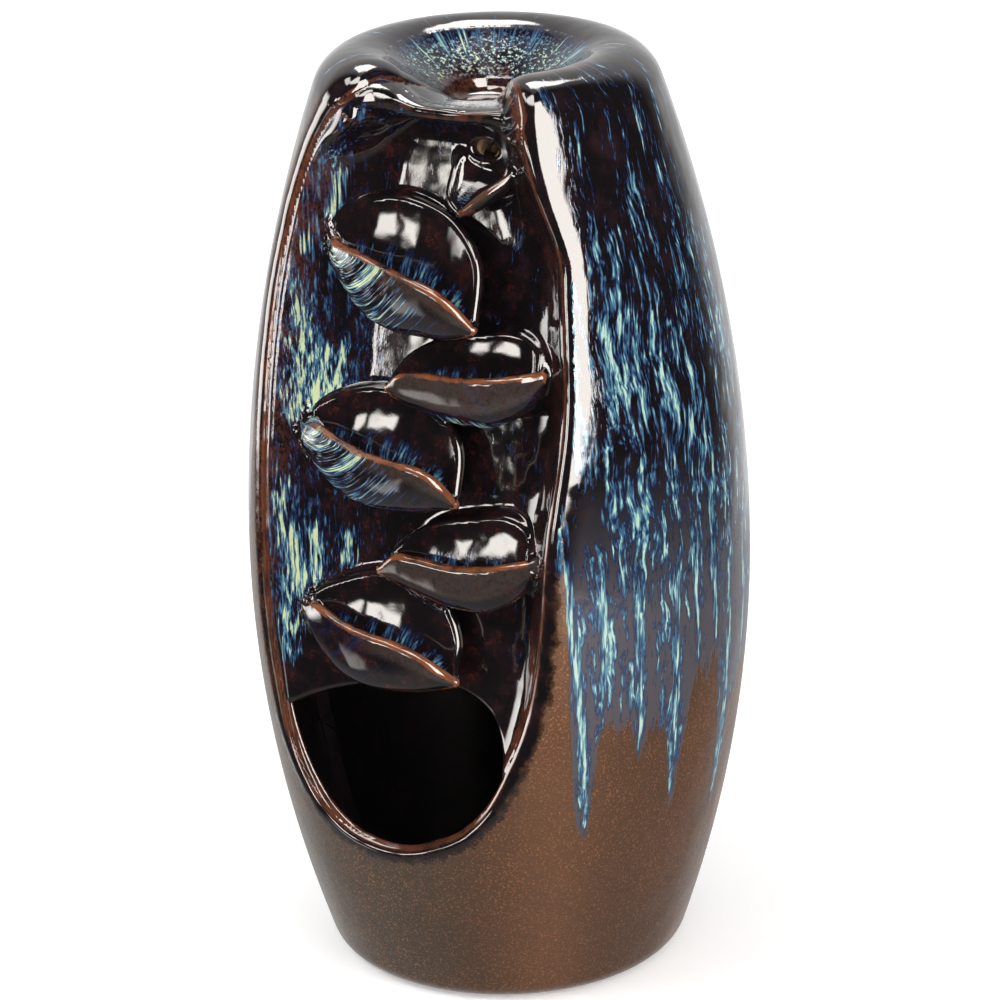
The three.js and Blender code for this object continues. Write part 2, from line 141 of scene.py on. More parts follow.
# Streams that feed the drips: angle and height of the tip, length, half width.
DRIP_STREAMS = [
    (53, 80, 40, 0.7), (61.7, 67, 50, 0.9), (72.7, 51, 60, 1.0), (79, 86, 36, 0.6), (86, 88, 44, 0.7),
    (93.5, 43, 70, 1.1), (103, 75, 40, 0.8), (121, 48, 60, 1.0), (132, 80, 34, 0.7), (150, 47, 62, 1.0),
    (166, 80, 40, 0.7), (177, 51, 58, 0.9), (194, 80, 36, 0.7), (206, 45, 64, 1.0), (224, 78, 40, 0.7),
    (236, 56, 54, 1.0), (250, 84, 30, 0.6), (262, 49, 60, 0.9), (276, 76, 36, 0.8), (290, 56, 52, 0.9)]
BARREL_STREAMS += [
    [(around - 1.5, tip + length, 0.0), (around - 0.6, tip + 0.5 * length, 0.5 * wide),
     (around, tip + 3, 0.2 * wide)]
    for around, tip, length, wide in DRIP_STREAMS]


def smooth_line(points, count):
    """A Catmull-Rom line through points, as count samples."""
    return curve_at(np.array(points, float), np.linspace(0, 1, count))[0]


def curve_at(points, share):
    """Position and derivative along a Catmull-Rom curve at shares from 0 to 1."""
    p = np.vstack([2 * points[0] - points[1], points, 2 * points[-1] - points[-2]])
    spans = len(points) - 1
    u = np.clip(share, 0, 1) * spans
    i = np.minimum(u.astype(int), spans - 1)
    t = (u - i)[:, None]
    a, b, c, d = p[i], p[i + 1], p[i + 2], p[i + 3]
    k1, k2, k3 = c - a, 2 * a - 5 * b + 4 * c - d, 3 * (b - c) + d - a
    return b + 0.5 * t * (k1 + t * (k2 + t * k3)), 0.5 * spans * (k1 + t * (2 * k2 + 3 * t * k3))


class Table:
    """A smooth function of one number, kept as samples."""

    def __init__(self, points, count=1500):
        line = smooth_line(points, count)
        self.x = np.linspace(line[0, 0], line[-1, 0], count)
        self.y = np.interp(self.x, line[:, 0], line[:, 1])
        self.slope = np.gradient(self.y, self.x)

    def __call__(self, x):
        return np.interp(x, self.x, self.y)

    def lean(self, x):
        """Cosine of the line's angle at x, which turns a height into a distance."""
        return 1 / np.sqrt(1 + np.interp(x, self.x, self.slope) ** 2)


def soft_min(a, b, width):
    """The smaller of two values, with their crossing rounded over a width."""
    h = np.maximum(width - np.abs(a - b), 0) / width
    return np.minimum(a, b) - h * h * width / 4


def soft_max(a, b, width):
    return -soft_min(-a, -b, width)


def ease(x, low, high):
    """Goes smoothly from zero at low to one at high."""
    t = np.clip((x - low) / (high - low), 0, 1)
    return t * t * (3 - 2 * t)


class Outline:
    """Signed distance to a closed outline in a plane, kept on a grid. It is below zero inside."""

    FAR = 26.0  # larger distances aren't worked out

    def __init__(self, line, low, high, step, stretch=None):
        self.low, self.step = np.array(low, float), np.array(step, float)
        across, up = [np.arange(l, h + s, s) for l, h, s in zip(low, high, step)]
        scale = stretch(up) if stretch else np.ones_like(up)
        far = self.FAR
        best = np.full((len(across), len(up)), far**2)
        inside = np.zeros(best.shape, bool)
        for (ax, ay), (bx, by) in zip(line, np.roll(line, -1, 0)):
            rows = slice(*np.searchsorted(up, (min(ay, by) - far, max(ay, by) + far)))
            wide = far / scale.min()
            columns = slice(*np.searchsorted(across, (min(ax, bx) - wide, max(ax, bx) + wide)))
            ux, uy = (across[columns, None] - ax) * scale[rows], up[rows] - ay
            vx, vy = (bx - ax) * scale[rows], by - ay
            t = np.clip((ux * vx + uy * vy) / (vx * vx + vy * vy + 1e-12), 0, 1)
            near = (ux - t * vx) ** 2 + (uy - t * vy) ** 2
            best[columns, rows] = np.minimum(best[columns, rows], near)
            crossed = slice(*np.searchsorted(up, (min(ay, by), max(ay, by))))
            if ay != by:
                inside[:, crossed] ^= across[:, None] < (bx - ax) * (up[crossed] - ay) / (by - ay) + ax
        self.grid = np.where(inside, -1, 1) * np.sqrt(best)

    def __call__(self, x, y):
        u = np.clip((x - self.low[0]) / self.step[0], 0, self.grid.shape[0] - 1.001)
        v = np.clip((y - self.low[1]) / self.step[1], 0, self.grid.shape[1] - 1.001)
        i, j = u.astype(int), v.astype(int)
        a, b = u - i, v - j
        g = self.grid
        near = g[i, j] * (1 - b) + g[i, j + 1] * b
        far = g[i + 1, j] * (1 - b) + g[i + 1, j + 1] * b
        return near * (1 - a) + far * a


def side_radius(z):
    """The barrel's outer radius at a height."""
    z = np.clip(z, 0, SHOULDER[1])
    return BELLY_RADIUS - np.where(z < BELLY_HEIGHT, BELOW_BELLY, ABOVE_BELLY) * (z - BELLY_HEIGHT) ** 2


def side_lean(z):
    """Cosine of the side's slope at a height."""
    curve = np.where(z < BELLY_HEIGHT, BELOW_BELLY, ABOVE_BELLY)
    slope = 2 * curve * (np.clip(z, 0, SHOULDER[1]) - BELLY_HEIGHT)
    return 1 / np.sqrt(1 + slope**2)


# ---- The leaf cups ----
# Each cup runs from its stem to its tip along three guides: its back rim, its keel and its front rim.
LEAVES = {
    "left_leaf_upper": (
        [(-24.9, -31.2, 187.1), (-26, -29.6, 190), (-21.9, -27.4, 194.3), (-12.1, -25.3, 197.6),
         (-1.3, -25.9, 196.4), (8.3, -29.4, 193.1), (15.7, -34.6, 186.2), (17.9, -41.5, 174.1)],
        [(-25, -31.6, 186.3), (-23.9, -32.6, 183.7), (-20.2, -33.2, 178.7), (-14.6, -33.8, 174.8),
         (-6.8, -34.8, 172.4), (2, -36, 172.1), (10, -38.4, 172.5), (18, -41.7, 173.6)],
        [(-24.1, -32, 187.2), (-21.5, -34.6, 186.8), (-15.2, -37.4, 186.3), (-7.4, -39.8, 184.8),
         (0.5, -42.4, 183.8), (8.3, -43.6, 182), (14.4, -43.4, 178.2), (18.1, -41.9, 174.2)],
    ),
    "left_leaf_middle": (
        [(-30.4, -37.4, 142.4), (-30.2, -36.2, 145.3), (-23.5, -35, 149.5), (-14.3, -33.2, 152.1),
         (-3.5, -33.8, 151.8), (6, -36.4, 149.6), (12.6, -40.4, 143), (14.1, -45.6, 132.1)],
        [(-30.7, -38, 141.8), (-30, -38.8, 138.6), (-25.3, -39.6, 134.3), (-18.3, -40.4, 131.1),
         (-10, -41.6, 129.8), (-1.6, -42.8, 130.1), (6.5, -44.2, 130.9), (14.2, -45.8, 131.7)],
        [(-28.8, -38.6, 142.8), (-24.9, -41, 142.6), (-18.5, -43.4, 141.2), (-10.7, -45.6, 139.9),
         (-2.2, -48, 140), (5.6, -49.4, 139.8), (11.3, -48.8, 137), (14.3, -46, 132.3)],
    ),
    "left_leaf_lower": (
        [(-28.6, -43, 97.9), (-27.8, -42.2, 100.9), (-21.4, -41, 104.4), (-11.2, -39.6, 107.7),
         (-0.7, -40.2, 107.2), (8.1, -42.4, 104.5), (13.4, -45, 97), (13.6, -47.4, 87.4)],
        [(-28.6, -43.6, 97.4), (-27.4, -44.4, 94), (-22.6, -45.2, 89.1), (-16.1, -46, 86.2), (-8.3, -46.6, 85),
         (-0.6, -47, 85.6), (6.8, -47.4, 86.4), (13.7, -47.6, 87)],
        [(-26.7, -44.2, 98.4), (-22.6, -46.8, 98.3), (-16.5, -48.8, 96.8), (-9.3, -50.2, 95.8),
         (-1.7, -51, 95.2), (5.1, -51.2, 93.5), (10.6, -50.4, 90.6), (13.9, -47.8, 87.6)],
    ),
    "right_leaf_upper": (
        [(32.4, -36, 162.8), (29.8, -31.6, 167.4), (23.1, -29.8, 169.7), (13.1, -30, 168.4), (3.5, -32, 165.9),
         (-4.1, -35, 161.3), (-7, -38.8, 155.9)],
        [(32.6, -37, 162.2), (29.8, -37.4, 156.8), (21.4, -38, 152.5), (11.3, -38, 152.2), (3.4, -38.2, 153.3),
         (-3.4, -38.6, 154.4), (-6.9, -39, 155.2)],
        [(33.5, -38, 163.8), (30, -41.6, 163.5), (23.2, -43.6, 162.5), (13.6, -43, 161), (4, -41.6, 160.3),
         (-2.8, -40.2, 158.7), (-6.8, -39.2, 155.8)],
    ),
    "right_leaf_lower": (
        [(32.1, -41.4, 118.4), (30.7, -38.6, 123.5), (24.5, -37.3, 126.5), (14.3, -37.4, 125),
         (4.3, -39, 122.4), (-3.2, -41.4, 117.2), (-8.2, -43.6, 111.3)],
        [(32.2, -42.2, 117.3), (30.1, -42.8, 112.8), (22.5, -43.4, 108.4), (12.6, -43, 107.6), (4, -43, 108.8),
         (-2.9, -43.4, 109.8), (-8.1, -43.8, 110.6)],
        [(33, -43, 118.9), (28.8, -45, 118.1), (21.4, -46.2, 116.3), (12.4, -46, 115.1), (3.3, -45.2, 115.2),
         (-3.1, -44.6, 114.8), (-7.9, -44, 111.2)],
    ),
    "spout_leaf": (
        [(4.4, -21.4, 209.4), (4.2, -24.4, 205.4), (5.4, -28.4, 201), (9.6, -31.8, 198.6)],
        [(12, -21.4, 204.4), (12.4, -24.4, 201.6), (11.2, -28.6, 199.2), (9.7, -32, 198)],
        [(20, -21.4, 208.8), (20, -25, 207), (15.8, -29.8, 203.2), (9.9, -32, 198.6)],
    ),
}
# Half the thickness of each cup's wall.
LEAF_WALL = {name: 1.1 if name == "spout_leaf" else 1.5 for name in LEAVES}


class Leaf:
    """The distance to one cup: its middle surface, given its thickness."""

    REACH = 7  # distances are only worked out this near to the cup

    def __init__(self, name):
        self.half = LEAF_WALL[name]
        self.curves = [np.array(guide, float) for guide in LEAVES[name]]
        s, t = [a.ravel() for a in np.meshgrid(np.linspace(0, 1, 34), np.linspace(0, 1, 15), indexing="ij")]
        self.samples = np.stack([s, t], 1)
        self.points = self.surface(s, t)[0]
        self.low = self.points.min(0) - self.REACH
        self.high = self.points.max(0) + self.REACH

    def surface(self, s, t):
        """Points of the middle surface, s along the cup and t round it, and how they change with s and t."""
        (back, db), (keel, dk), (front, df) = [curve_at(c, s) for c in self.curves]
        c, d = np.cos(np.pi * t)[:, None], np.sin(np.pi * t)[:, None]
        middle, out, down = (back + front) / 2, (back - front) / 2, keel - (back + front) / 2
        dm, do = (db + df) / 2, (db - df) / 2
        point = middle + out * c + down * d
        return point, dm + do * c + (dk - dm) * d, np.pi * (down * c - out * d)

    def __call__(self, p):
        distance = np.full(len(p), 50.0)
        near = np.flatnonzero(np.all((p > self.low) & (p < self.high), 1))
        for part in np.array_split(near, max(1, len(near) // 40000)):
            if len(part):
                distance[part] = self.gap(p[part])
        return distance

    def nearest(self, p):
        """Where on the middle surface each point lies: along it, round it, and there in space."""
        square = (self.points**2).sum(1)[None] - 2 * p @ self.points.T
        s, t = self.samples[square.argmin(1)].T
        for _ in range(4):
            point, ds, dt = self.surface(s, t)
            r = point - p
            a, b, c = (ds * ds).sum(1) + 0.5, (ds * dt).sum(1), (dt * dt).sum(1) + 0.5
            gs, gt = (ds * r).sum(1), (dt * r).sum(1)
            det = a * c - b * b + 1e-9
            s = np.clip(s - (c * gs - b * gt) / det, 0, 1)
            t = np.clip(t - (a * gt - b * gs) / det, 0, 1)
        return s, t, self.surface(s, t)[0]

    def gap(self, p):
        """Distance from the cup's wall, which grows thinner to the tip."""
        s, _, point = self.nearest(p)
        return np.sqrt(((point - p) ** 2).sum(1)) - self.half * (1 - 0.3 * ease(s, 0.8, 1))


class Clay:
    """The whole burner as one field: the distance to its glazed surface, below zero in the clay."""

    def __init__(self):
        window, cave = smooth_line(WINDOW_EDGE, 900), smooth_line(CAVE_LINE, 240)
        self.window = Outline(window, (-130, 25), (110, 262), (0.4, 0.4), lambda z: np.radians(side_radius(z)))
        self.cave = Outline(cave, (-60, 15), (60, 100), (0.5, 0.5))
        self.panel = Table(PANEL_LINE)
        self.dish = Table(DISH_LINE)
        self.drips = Table(DRIP_LINE, 4000)
        self.leaves = {name: Leaf(name) for name in LEAVES}

    def parts(self, p):
        """Radius, angle, distance outside the window's edge and distance behind the panel's face."""
        x, y, z = p.T
        r = np.hypot(x, y)
        angle = np.degrees(np.arctan2(x, -y))
        z2 = np.clip(z, 26, 261)
        off = self.window(angle, z2) * np.clip(r / side_radius(z), 0, 1.05)
        behind = (y + self.panel(z)) * self.panel.lean(z)
        return r, angle, off, behind

    def outside(self, r, angle, z, off):
        """Distance to the barrel's side, rim and dish, with the lip rounded off along the window."""
        left = ease(angle, -42, -3)
        right = 1 - ease(angle, 35, 41.5)
        lifted = z + BROW_DIP * left * right * np.clip((r - THROAT) / (DISH_RADIUS - THROAT), 0, 1)
        side = (r - side_radius(z)) * side_lean(z)
        dr, dz = r - CREST_RADIUS, lifted - ROLL_HEIGHT
        turn = np.arctan2(dz, dr)
        roll = np.hypot(dr, dz) - RIM_ROLL
        funnel = (lifted - self.dish(r)) * self.dish.lean(r)
        top = np.where(turn > ROLL_END, funnel, roll)
        body = np.where((turn < ROLL_START) | (dz < 0), side, top)
        body = np.where((r < CREST_RADIUS) & (dz < 0), np.maximum(funnel, side), body)
        narrow = 0.45 + 0.55 * ease(z, 50, 84)
        share = np.clip(1 - off / (LIP_BAND * narrow), 0, 1)
        body = body + LIP_DROP * narrow * (1 - np.sqrt(1 - share**2 * 0.985)) * ease(r, THROAT, DISH_RADIUS)
        return soft_max(body, -z, 1.17 * FOOT_ROUND)

    def inner(self, r, z):
        """Distance to the barrel's inner face, below zero in the room."""
        side = (r - side_radius(z) + WALL) * side_lean(z)
        dr, dz = r - CREST_RADIUS, z - ROLL_HEIGHT
        roll = np.hypot(dr, dz) - RIM_ROLL + WALL
        top = np.where(dr > 0, roll, dz - RIM_ROLL + WALL)
        return np.where((np.arctan2(dz, dr) < ROLL_START) | (dz < 0), side, top)

    def block(self, p):
        """The barrel, dish and panel as one block of clay, with the window cut and no cave."""
        x, y, z = p.T
        r, angle, off, behind = self.parts(p)
        body = self.outside(r, angle, z, off)
        brow = -y - BROW_FACE - BROW_LEAN * (z - DISH_UNDER) + 0.012 * np.maximum(x - 3, 0) ** 2
        brow *= BROW_COSINE
        left = ease(-x, 4, 20)
        above = np.maximum(-brow, DISH_UNDER - 1 - z)
        below = soft_max(behind, z - DISH_UNDER, 1.5 + 8 * left)
        fillet = 7.0 + 11.0 * ease(-x, 5, 25) * ease(z, 60, 90)
        window = soft_max(off, soft_min(above, below, 1.6 + 7 * left), fillet)
        crisp = 2.2 + 1.5 * ease(z, 221, 224) * (1 - ease(r, 33, 37))
        return soft_max(body, -window, crisp), r, off, behind

    def base(self, p):
        """The block with the cave, the smoke hole and the outlet cut."""
        x, y, z = p.T
        body, r, off, behind = self.block(p)
        cave = np.maximum(self.cave(x, z), self.inner(r, z) - CAVE_CUT)
        base = soft_max(body, -np.maximum(cave, y + 5), 2.2)
        base = soft_max(base, DUCT_HOLE - r, 0.8)
        outlet = (np.hypot((x - OUTLET[0]) / OUTLET[2], (z - OUTLET[1]) / OUTLET[3]) - 1) * OUTLET[3]
        return soft_max(base, -np.maximum(outlet, y), 1.2), body, r, off, behind

    def __call__(self, p):
        body = self.base(p)[0]
        for name, leaf in self.leaves.items():
            body = soft_min(body, leaf(p), 2.6 if name != "spout_leaf" else 1.4)
        return body

    def marks(self, p):
        """Values that the glaze follows, one for each point."""
        x, y, z = p.T
        marks = {
            "bend": np.clip(bend(self, p, 0.6), -2, 2),
            "off": np.clip(self.parts(p)[2], -20, 20),
            "drip": np.clip(z - self.drips(np.degrees(np.arctan2(x, -y)) % 360), -40, 60),
            "stream": self.streams(p),
        }
        marks.update({name: np.zeros(len(p)) for name in ("cup", "along", "round", "within")})
        for leaf in self.leaves.values():
            near = np.flatnonzero(np.all((p > leaf.low) & (p < leaf.high), 1))
            s, t, point = leaf.nearest(p[near])
            gap = np.linalg.norm(point - p[near], axis=1) - leaf.half
            near, s, t, point, gap = [v[gap < 2.5] for v in (near, s, t, point, gap)]
            back, _, front = [curve_at(c, s)[0] for c in leaf.curves]
            inner = ((p[near] - point) * ((back + front) / 2 - point)).sum(1) > 0
            marks["cup"][near] = 1 - ease(gap, 0.3, 2.0)
            marks["along"][near] = s
            marks["round"][near] = t
            marks["within"][near] = inner
        return marks

    def streams(self, p):
        """Distance from the edge of the nearest drawn stream of glaze."""
        x, y, z = p.T
        around = np.degrees(np.arctan2(x, -y)) % 360
        off = self.parts(p)[2]
        front = (off < 2) & (z < 216)
        best = np.full(len(p), 12.0)
        for lines, side, across in ((PANEL_STREAMS, front, x), (BARREL_STREAMS, ~front, around)):
            for line in lines:
                for (ax, az, aw), (bx, bz, bw) in zip(line, line[1:]):
                    ux, uz = across[side] - ax, z[side] - az
                    vx, vz = bx - ax, bz - az
                    t = np.clip((ux * vx + uz * vz) / (vx * vx + vz * vz), 0, 1)
                    gap = np.hypot(ux - t * vx, uz - t * vz) - (aw + (bw - aw) * t)
                    best[side] = np.minimum(best[side], gap)
        return best + 5 * ease(off, -5, 1) * front

    def owner(self, p):
        """Number of the piece that a point of the surface belongs to, or -1 where no piece shows."""
        z = p[:, 2]
        base, body, r, off, behind = self.base(p)
        inner = self.inner(r, z) - CAVE_CUT * (1 - ease(z, 76, 84))
        vessel = (inner > -0.7) | ((z > DISH_UNDER - 0.5) & (r > DISH_RADIUS + 0.15))
        owner = np.where(vessel, 0, 1)
        reach = (r < DISH_RADIUS + 0.15) | (off < 0)
        dish = reach & (z > DISH_UNDER - 1) & (DISH_UNDER - z < -behind)
        dish |= reach & (z > DISH_UNDER)
        dish |= (r < THROAT) & (z > THROAT_FOOT)
        owner[dish] = 2
        buried = (body < -1.5) & ((behind > PANEL_THICK) | (inner > -0.7)) & (z < THROAT_FOOT)
        floor = (z < 0.5) & (r < FOOT_RADIUS - FOOT_ROUND)
        owner[buried | floor] = -1
        for number, leaf in enumerate(self.leaves.values()):
            owner[leaf(p) < np.minimum(base, 3)] = 3 + number
        return owner


# ---- From a field to a mesh ----
def sampled(field, low, high, step, block=4):
    """A field on a grid. Only blocks near the surface are worked out, and the rest is far out or far in."""
    size = np.ceil((np.array(high) - low) / (block * step)).astype(int) + 1
    centres = np.stack(np.meshgrid(*[np.arange(n) for n in size], indexing="ij"), -1).reshape(-1, 3)
    middle = field(low + (centres + 0.5) * block * step)
    near = np.abs(middle) < 1.35 * block * step
    grid = np.repeat(np.repeat(np.repeat(np.sign(middle).reshape(size), block, 0), block, 1), block, 2) * 99.0
    grid = np.pad(grid, ((0, 1),) * 3, mode="edge")
    wanted = np.zeros(grid.shape, bool)
    offsets = np.stack(np.meshgrid(*[np.arange(block + 1)] * 3, indexing="ij"), -1).reshape(-1, 3)
    for part in np.array_split(centres[near] * block, 8):
        nodes = (part[:, None] + offsets[None]).reshape(-1, 3)
        wanted[nodes[:, 0], nodes[:, 1], nodes[:, 2]] = True
    index = np.argwhere(wanted)
    parts = np.array_split(index, max(1, len(index) // 200000))
    grid[wanted] = np.concatenate([field(low + part * step) for part in parts])
    return grid


def net(field, low, high, step):
    """Vertices and quads where a field crosses zero, with one vertex in each cell that the surface crosses."""
    low = np.array(low, float) - step / 2
    grid = sampled(field, low, np.array(high) - step / 2, step)
    inside = grid < 0
    cells = tuple(n - 1 for n in grid.shape)
    corners = [(i, j, k) for i in (0, 1) for j in (0, 1) for k in (0, 1)]
    within = [inside[i : i + cells[0], j : j + cells[1], k : k + cells[2]] for i, j, k in corners]
    count = sum(corner.astype(np.int8) for corner in within)
    active = np.argwhere((count > 0) & (count < 8))
    points = np.zeros((len(active), 3))
    hits = np.zeros(len(active))
    for a in corners:
        for axis in range(3):
            if a[axis]:
                continue
            b = tuple(c + (n == axis) for n, c in enumerate(a))
            va, vb = [grid[tuple((active + end).T)] for end in (a, b)]
            crosses = (va < 0) != (vb < 0)
            share = np.where(crosses, va / np.where(crosses, va - vb, 1), 0)
            points += crosses[:, None] * (active + a + share[:, None] * (np.array(b) - a))
            hits += crosses
    points = low + step * points / hits[:, None]
    number = np.full(cells, -1)
    number[tuple(active.T)] = np.arange(len(active))
    quads = []
    for axis in range(3):
        u, v = (axis + 1) % 3, (axis + 2) % 3
        edges = np.argwhere(np.diff(inside, axis=axis))
        edges = edges[(edges[:, u] > 0) & (edges[:, v] > 0)]
        edges = edges[(edges[:, u] < cells[u]) & (edges[:, v] < cells[v])]
        around = []
        for du, dv in ((-1, -1), (0, -1), (0, 0), (-1, 0)):
            cell = edges.copy()
            cell[:, u] += du
            cell[:, v] += dv
            around.append(number[tuple(cell.T)])
        quad = np.stack(around, 1)
        quads.append(np.where(inside[tuple(edges.T)][:, None], quad, quad[:, ::-1]))
    return points, np.concatenate(quads)


def gradient(field, p, reach=0.06):
    """The direction and rate of the field's fastest rise."""
    steps = np.eye(3) * reach
    return np.stack([(field(p + s) - field(p - s)) / (2 * reach) for s in steps], 1)


def settle(field, p, rounds=2, limit=0.5):
    """Moves points onto the surface, along the field's slope."""
    for _ in range(rounds):
        value = field(p)
        slope = gradient(field, p)
        length = np.maximum((slope**2).sum(1), 0.15)
        move = -slope * (value / length)[:, None]
        p = p + move / np.maximum(np.linalg.norm(move, axis=1) / limit, 1)[:, None]
    return p


def bend(field, p, reach):
    """How strongly the surface bends, in 1/mm: above zero on rims and edges, below zero in hollows."""
    total = -6 * field(p)
    for s in np.eye(3) * reach:
        total = total + field(p + s) + field(p - s)
    return total / reach**2


def new_object(name, data):
    made = bpy.data.objects.new(name, data)
    bpy.context.scene.collection.objects.link(made)
    return made


def finished(piece):
    """The mesh that a piece has after its modifiers."""
    bpy.context.view_layer.update()
    return bpy.data.meshes.new_from_object(piece.evaluated_get(bpy.context.evaluated_depsgraph_get()))


def mesh_from(name, points, faces):
    """A smooth mesh from points in millimetres and faces that all have as many corners."""
    mesh = bpy.data.meshes.new(name)
    mesh.vertices.add(len(points))
    mesh.vertices.foreach_set("co", (points * MM).astype(np.float32).ravel())
    mesh.loops.add(faces.size)
    mesh.loops.foreach_set("vertex_index", faces.astype(np.int32).ravel())
    mesh.polygons.add(len(faces))
    mesh.polygons.foreach_set("loop_start", np.arange(len(faces), dtype=np.int32) * faces.shape[1])
    mesh.update(calc_edges=True)
    mesh.validate()
    mesh.polygons.foreach_set("use_smooth", np.ones(len(mesh.polygons), bool))
    return mesh


def border(faces):
    """The directed edges of triangles that have no face on their other side."""
    edges = np.concatenate([faces[:, [0, 1]], faces[:, [1, 2]], faces[:, [2, 0]]])
    size = faces.max() + 1
    forward = edges[:, 0].astype(np.int64) * size + edges[:, 1]
    backward = edges[:, 1].astype(np.int64) * size + edges[:, 0]
    return edges[~np.isin(forward, backward)]


def smooth_seams(points, quads, owner, field):
    """Evens out the steps where pieces meet, and puts those points back on the surface."""
    edges = np.concatenate([quads[:, [i, (i + 1) % 4]] for i in range(4)])
    owners = np.tile(owner, 4)
    low, high = edges.min(1), edges.max(1)
    key = low.astype(np.int64) * len(points) + high
    order = np.argsort(key, kind="stable")
    key, owners = key[order], owners[order]
    pair = np.flatnonzero((key[1:] == key[:-1]) & (owners[1:] != owners[:-1]))
    a, b = key[pair] // len(points), key[pair] % len(points)
    for _ in range(4):
        total, count = np.zeros_like(points), np.zeros(len(points))
        for u, v in ((a, b), (b, a)):
            np.add.at(total, u, points[v])
            np.add.at(count, u, 1)
        seam = count > 1
        points[seam] = 0.5 * points[seam] + 0.5 * total[seam] / count[seam][:, None]
    seam = count > 0
    points[seam] = settle(field, points[seam], 2, 0.4)
    return points


def held_in(field, points, normals, wall):
    """The wall at each point, less where the clay is too thin for it."""
    wall = wall.copy()
    check = np.arange(len(points))
    for _ in range(4):
        depth = -field(points[check] - normals[check] * wall[check][:, None])
        check = check[depth < 0.55 * wall[check]]
        wall[check] *= 0.5
    return wall


def thicken(points, faces, normals, wall):
    """Closes an open skin with an inner copy, one wall behind it."""
    inner = points - normals * wall[:, None]
    edges = border(faces)
    count = len(points)
    rim = np.concatenate([
        np.stack([edges[:, 1], edges[:, 0], edges[:, 0] + count], 1),
        np.stack([edges[:, 1], edges[:, 0] + count, edges[:, 1] + count], 1),
    ])
    return np.concatenate([points, inner]), np.concatenate([faces, faces[:, ::-1] + count, rim])


def thinned(name, points, faces, most):
    """Fewer triangles where the skin is plain. Its border stays as it is."""
    piece = new_object(name, mesh_from(name, points, faces))
    fixed = np.unique(border(faces))
    free = np.setdiff1d(np.arange(len(points)), fixed)
    group = piece.vertex_groups.new(name="free")
    group.add(free.tolist(), 1.0, "REPLACE")
    group.add(fixed.tolist(), 0.0, "REPLACE")
    modifier = piece.modifiers.new("thin", "DECIMATE")
    modifier.ratio = most / len(faces)
    modifier.vertex_group = "free"
    modifier.use_collapse_triangulate = True
    mesh = finished(piece)
    points = np.zeros(len(mesh.vertices) * 3, np.float32)
    mesh.vertices.foreach_get("co", points)
    faces = np.zeros(len(mesh.loops), np.int32)
    mesh.loops.foreach_get("vertex_index", faces)
    old = piece.data
    bpy.data.objects.remove(piece)
    bpy.data.meshes.remove(old)
    bpy.data.meshes.remove(mesh)
    return points.reshape(-1, 3).astype(float) / MM, faces.reshape(-1, 3)


def clay_piece(name, points, quads, clay, wall):
    """One closed piece from its share of the burner's surface."""
    used, faces = np.unique(quads, return_inverse=True)
    faces = faces.reshape(-1, 4)
    points = points[used]
    faces = np.concatenate([faces[:, [0, 1, 2]], faces[:, [0, 2, 3]]])
    if len(faces) > MOST_FACES:
        points, faces = thinned(name, points, faces, MOST_FACES)
        fixed = np.unique(border(faces))
        settled = settle(clay, points, 1, 0.2)
        settled[fixed] = points[fixed]
        points = settled
    normals = gradient(clay, points)
    normals /= np.maximum(np.linalg.norm(normals, axis=1), 1e-6)[:, None]
    marks = clay.marks(points)
    points, faces = thicken(points, faces, normals, held_in(clay, points, normals, wall(points)))
    mesh = mesh_from(name, points, faces)
    marks = {label: np.tile(values, 2) for label, values in marks.items()}
    marks["unseen"] = np.repeat((0.0, 1.0), len(normals))
    for label, values in marks.items():
        layer = mesh.attributes.new(label, "FLOAT", "POINT")
        layer.data.foreach_set("value", values.astype(np.float32))
    mesh.update()
    mesh.normals_split_custom_set_from_vertices(np.concatenate([normals, -normals]).astype(np.float32))
    return new_object(name, mesh)


def claim(piece, slot, *nodes):
    """Hangs a finished piece on the root body and hides the frame's parts that it stands for."""
    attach(piece, "root")
    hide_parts(*nodes)


# ---- Node trees ----
class Value:
    """What a node gives out. It takes part in sums like a number."""

    def __init__(self, tree, socket):
        self.tree, self.socket = tree, socket

    def __add__(self, other):
        return self.tree.math("ADD", self, other)

    def __sub__(self, other):
        return self.tree.math("SUBTRACT", self, other)

    def __rsub__(self, other):
        return self.tree.math("SUBTRACT", other, self)

    def __mul__(self, other):
        return self.tree.math("MULTIPLY", self, other)

    def __rtruediv__(self, other):
        return self.tree.math("DIVIDE", other, self)

    def __neg__(self):
        return self * -1.0

    def __abs__(self):
        return self.tree.math("ABSOLUTE", self)


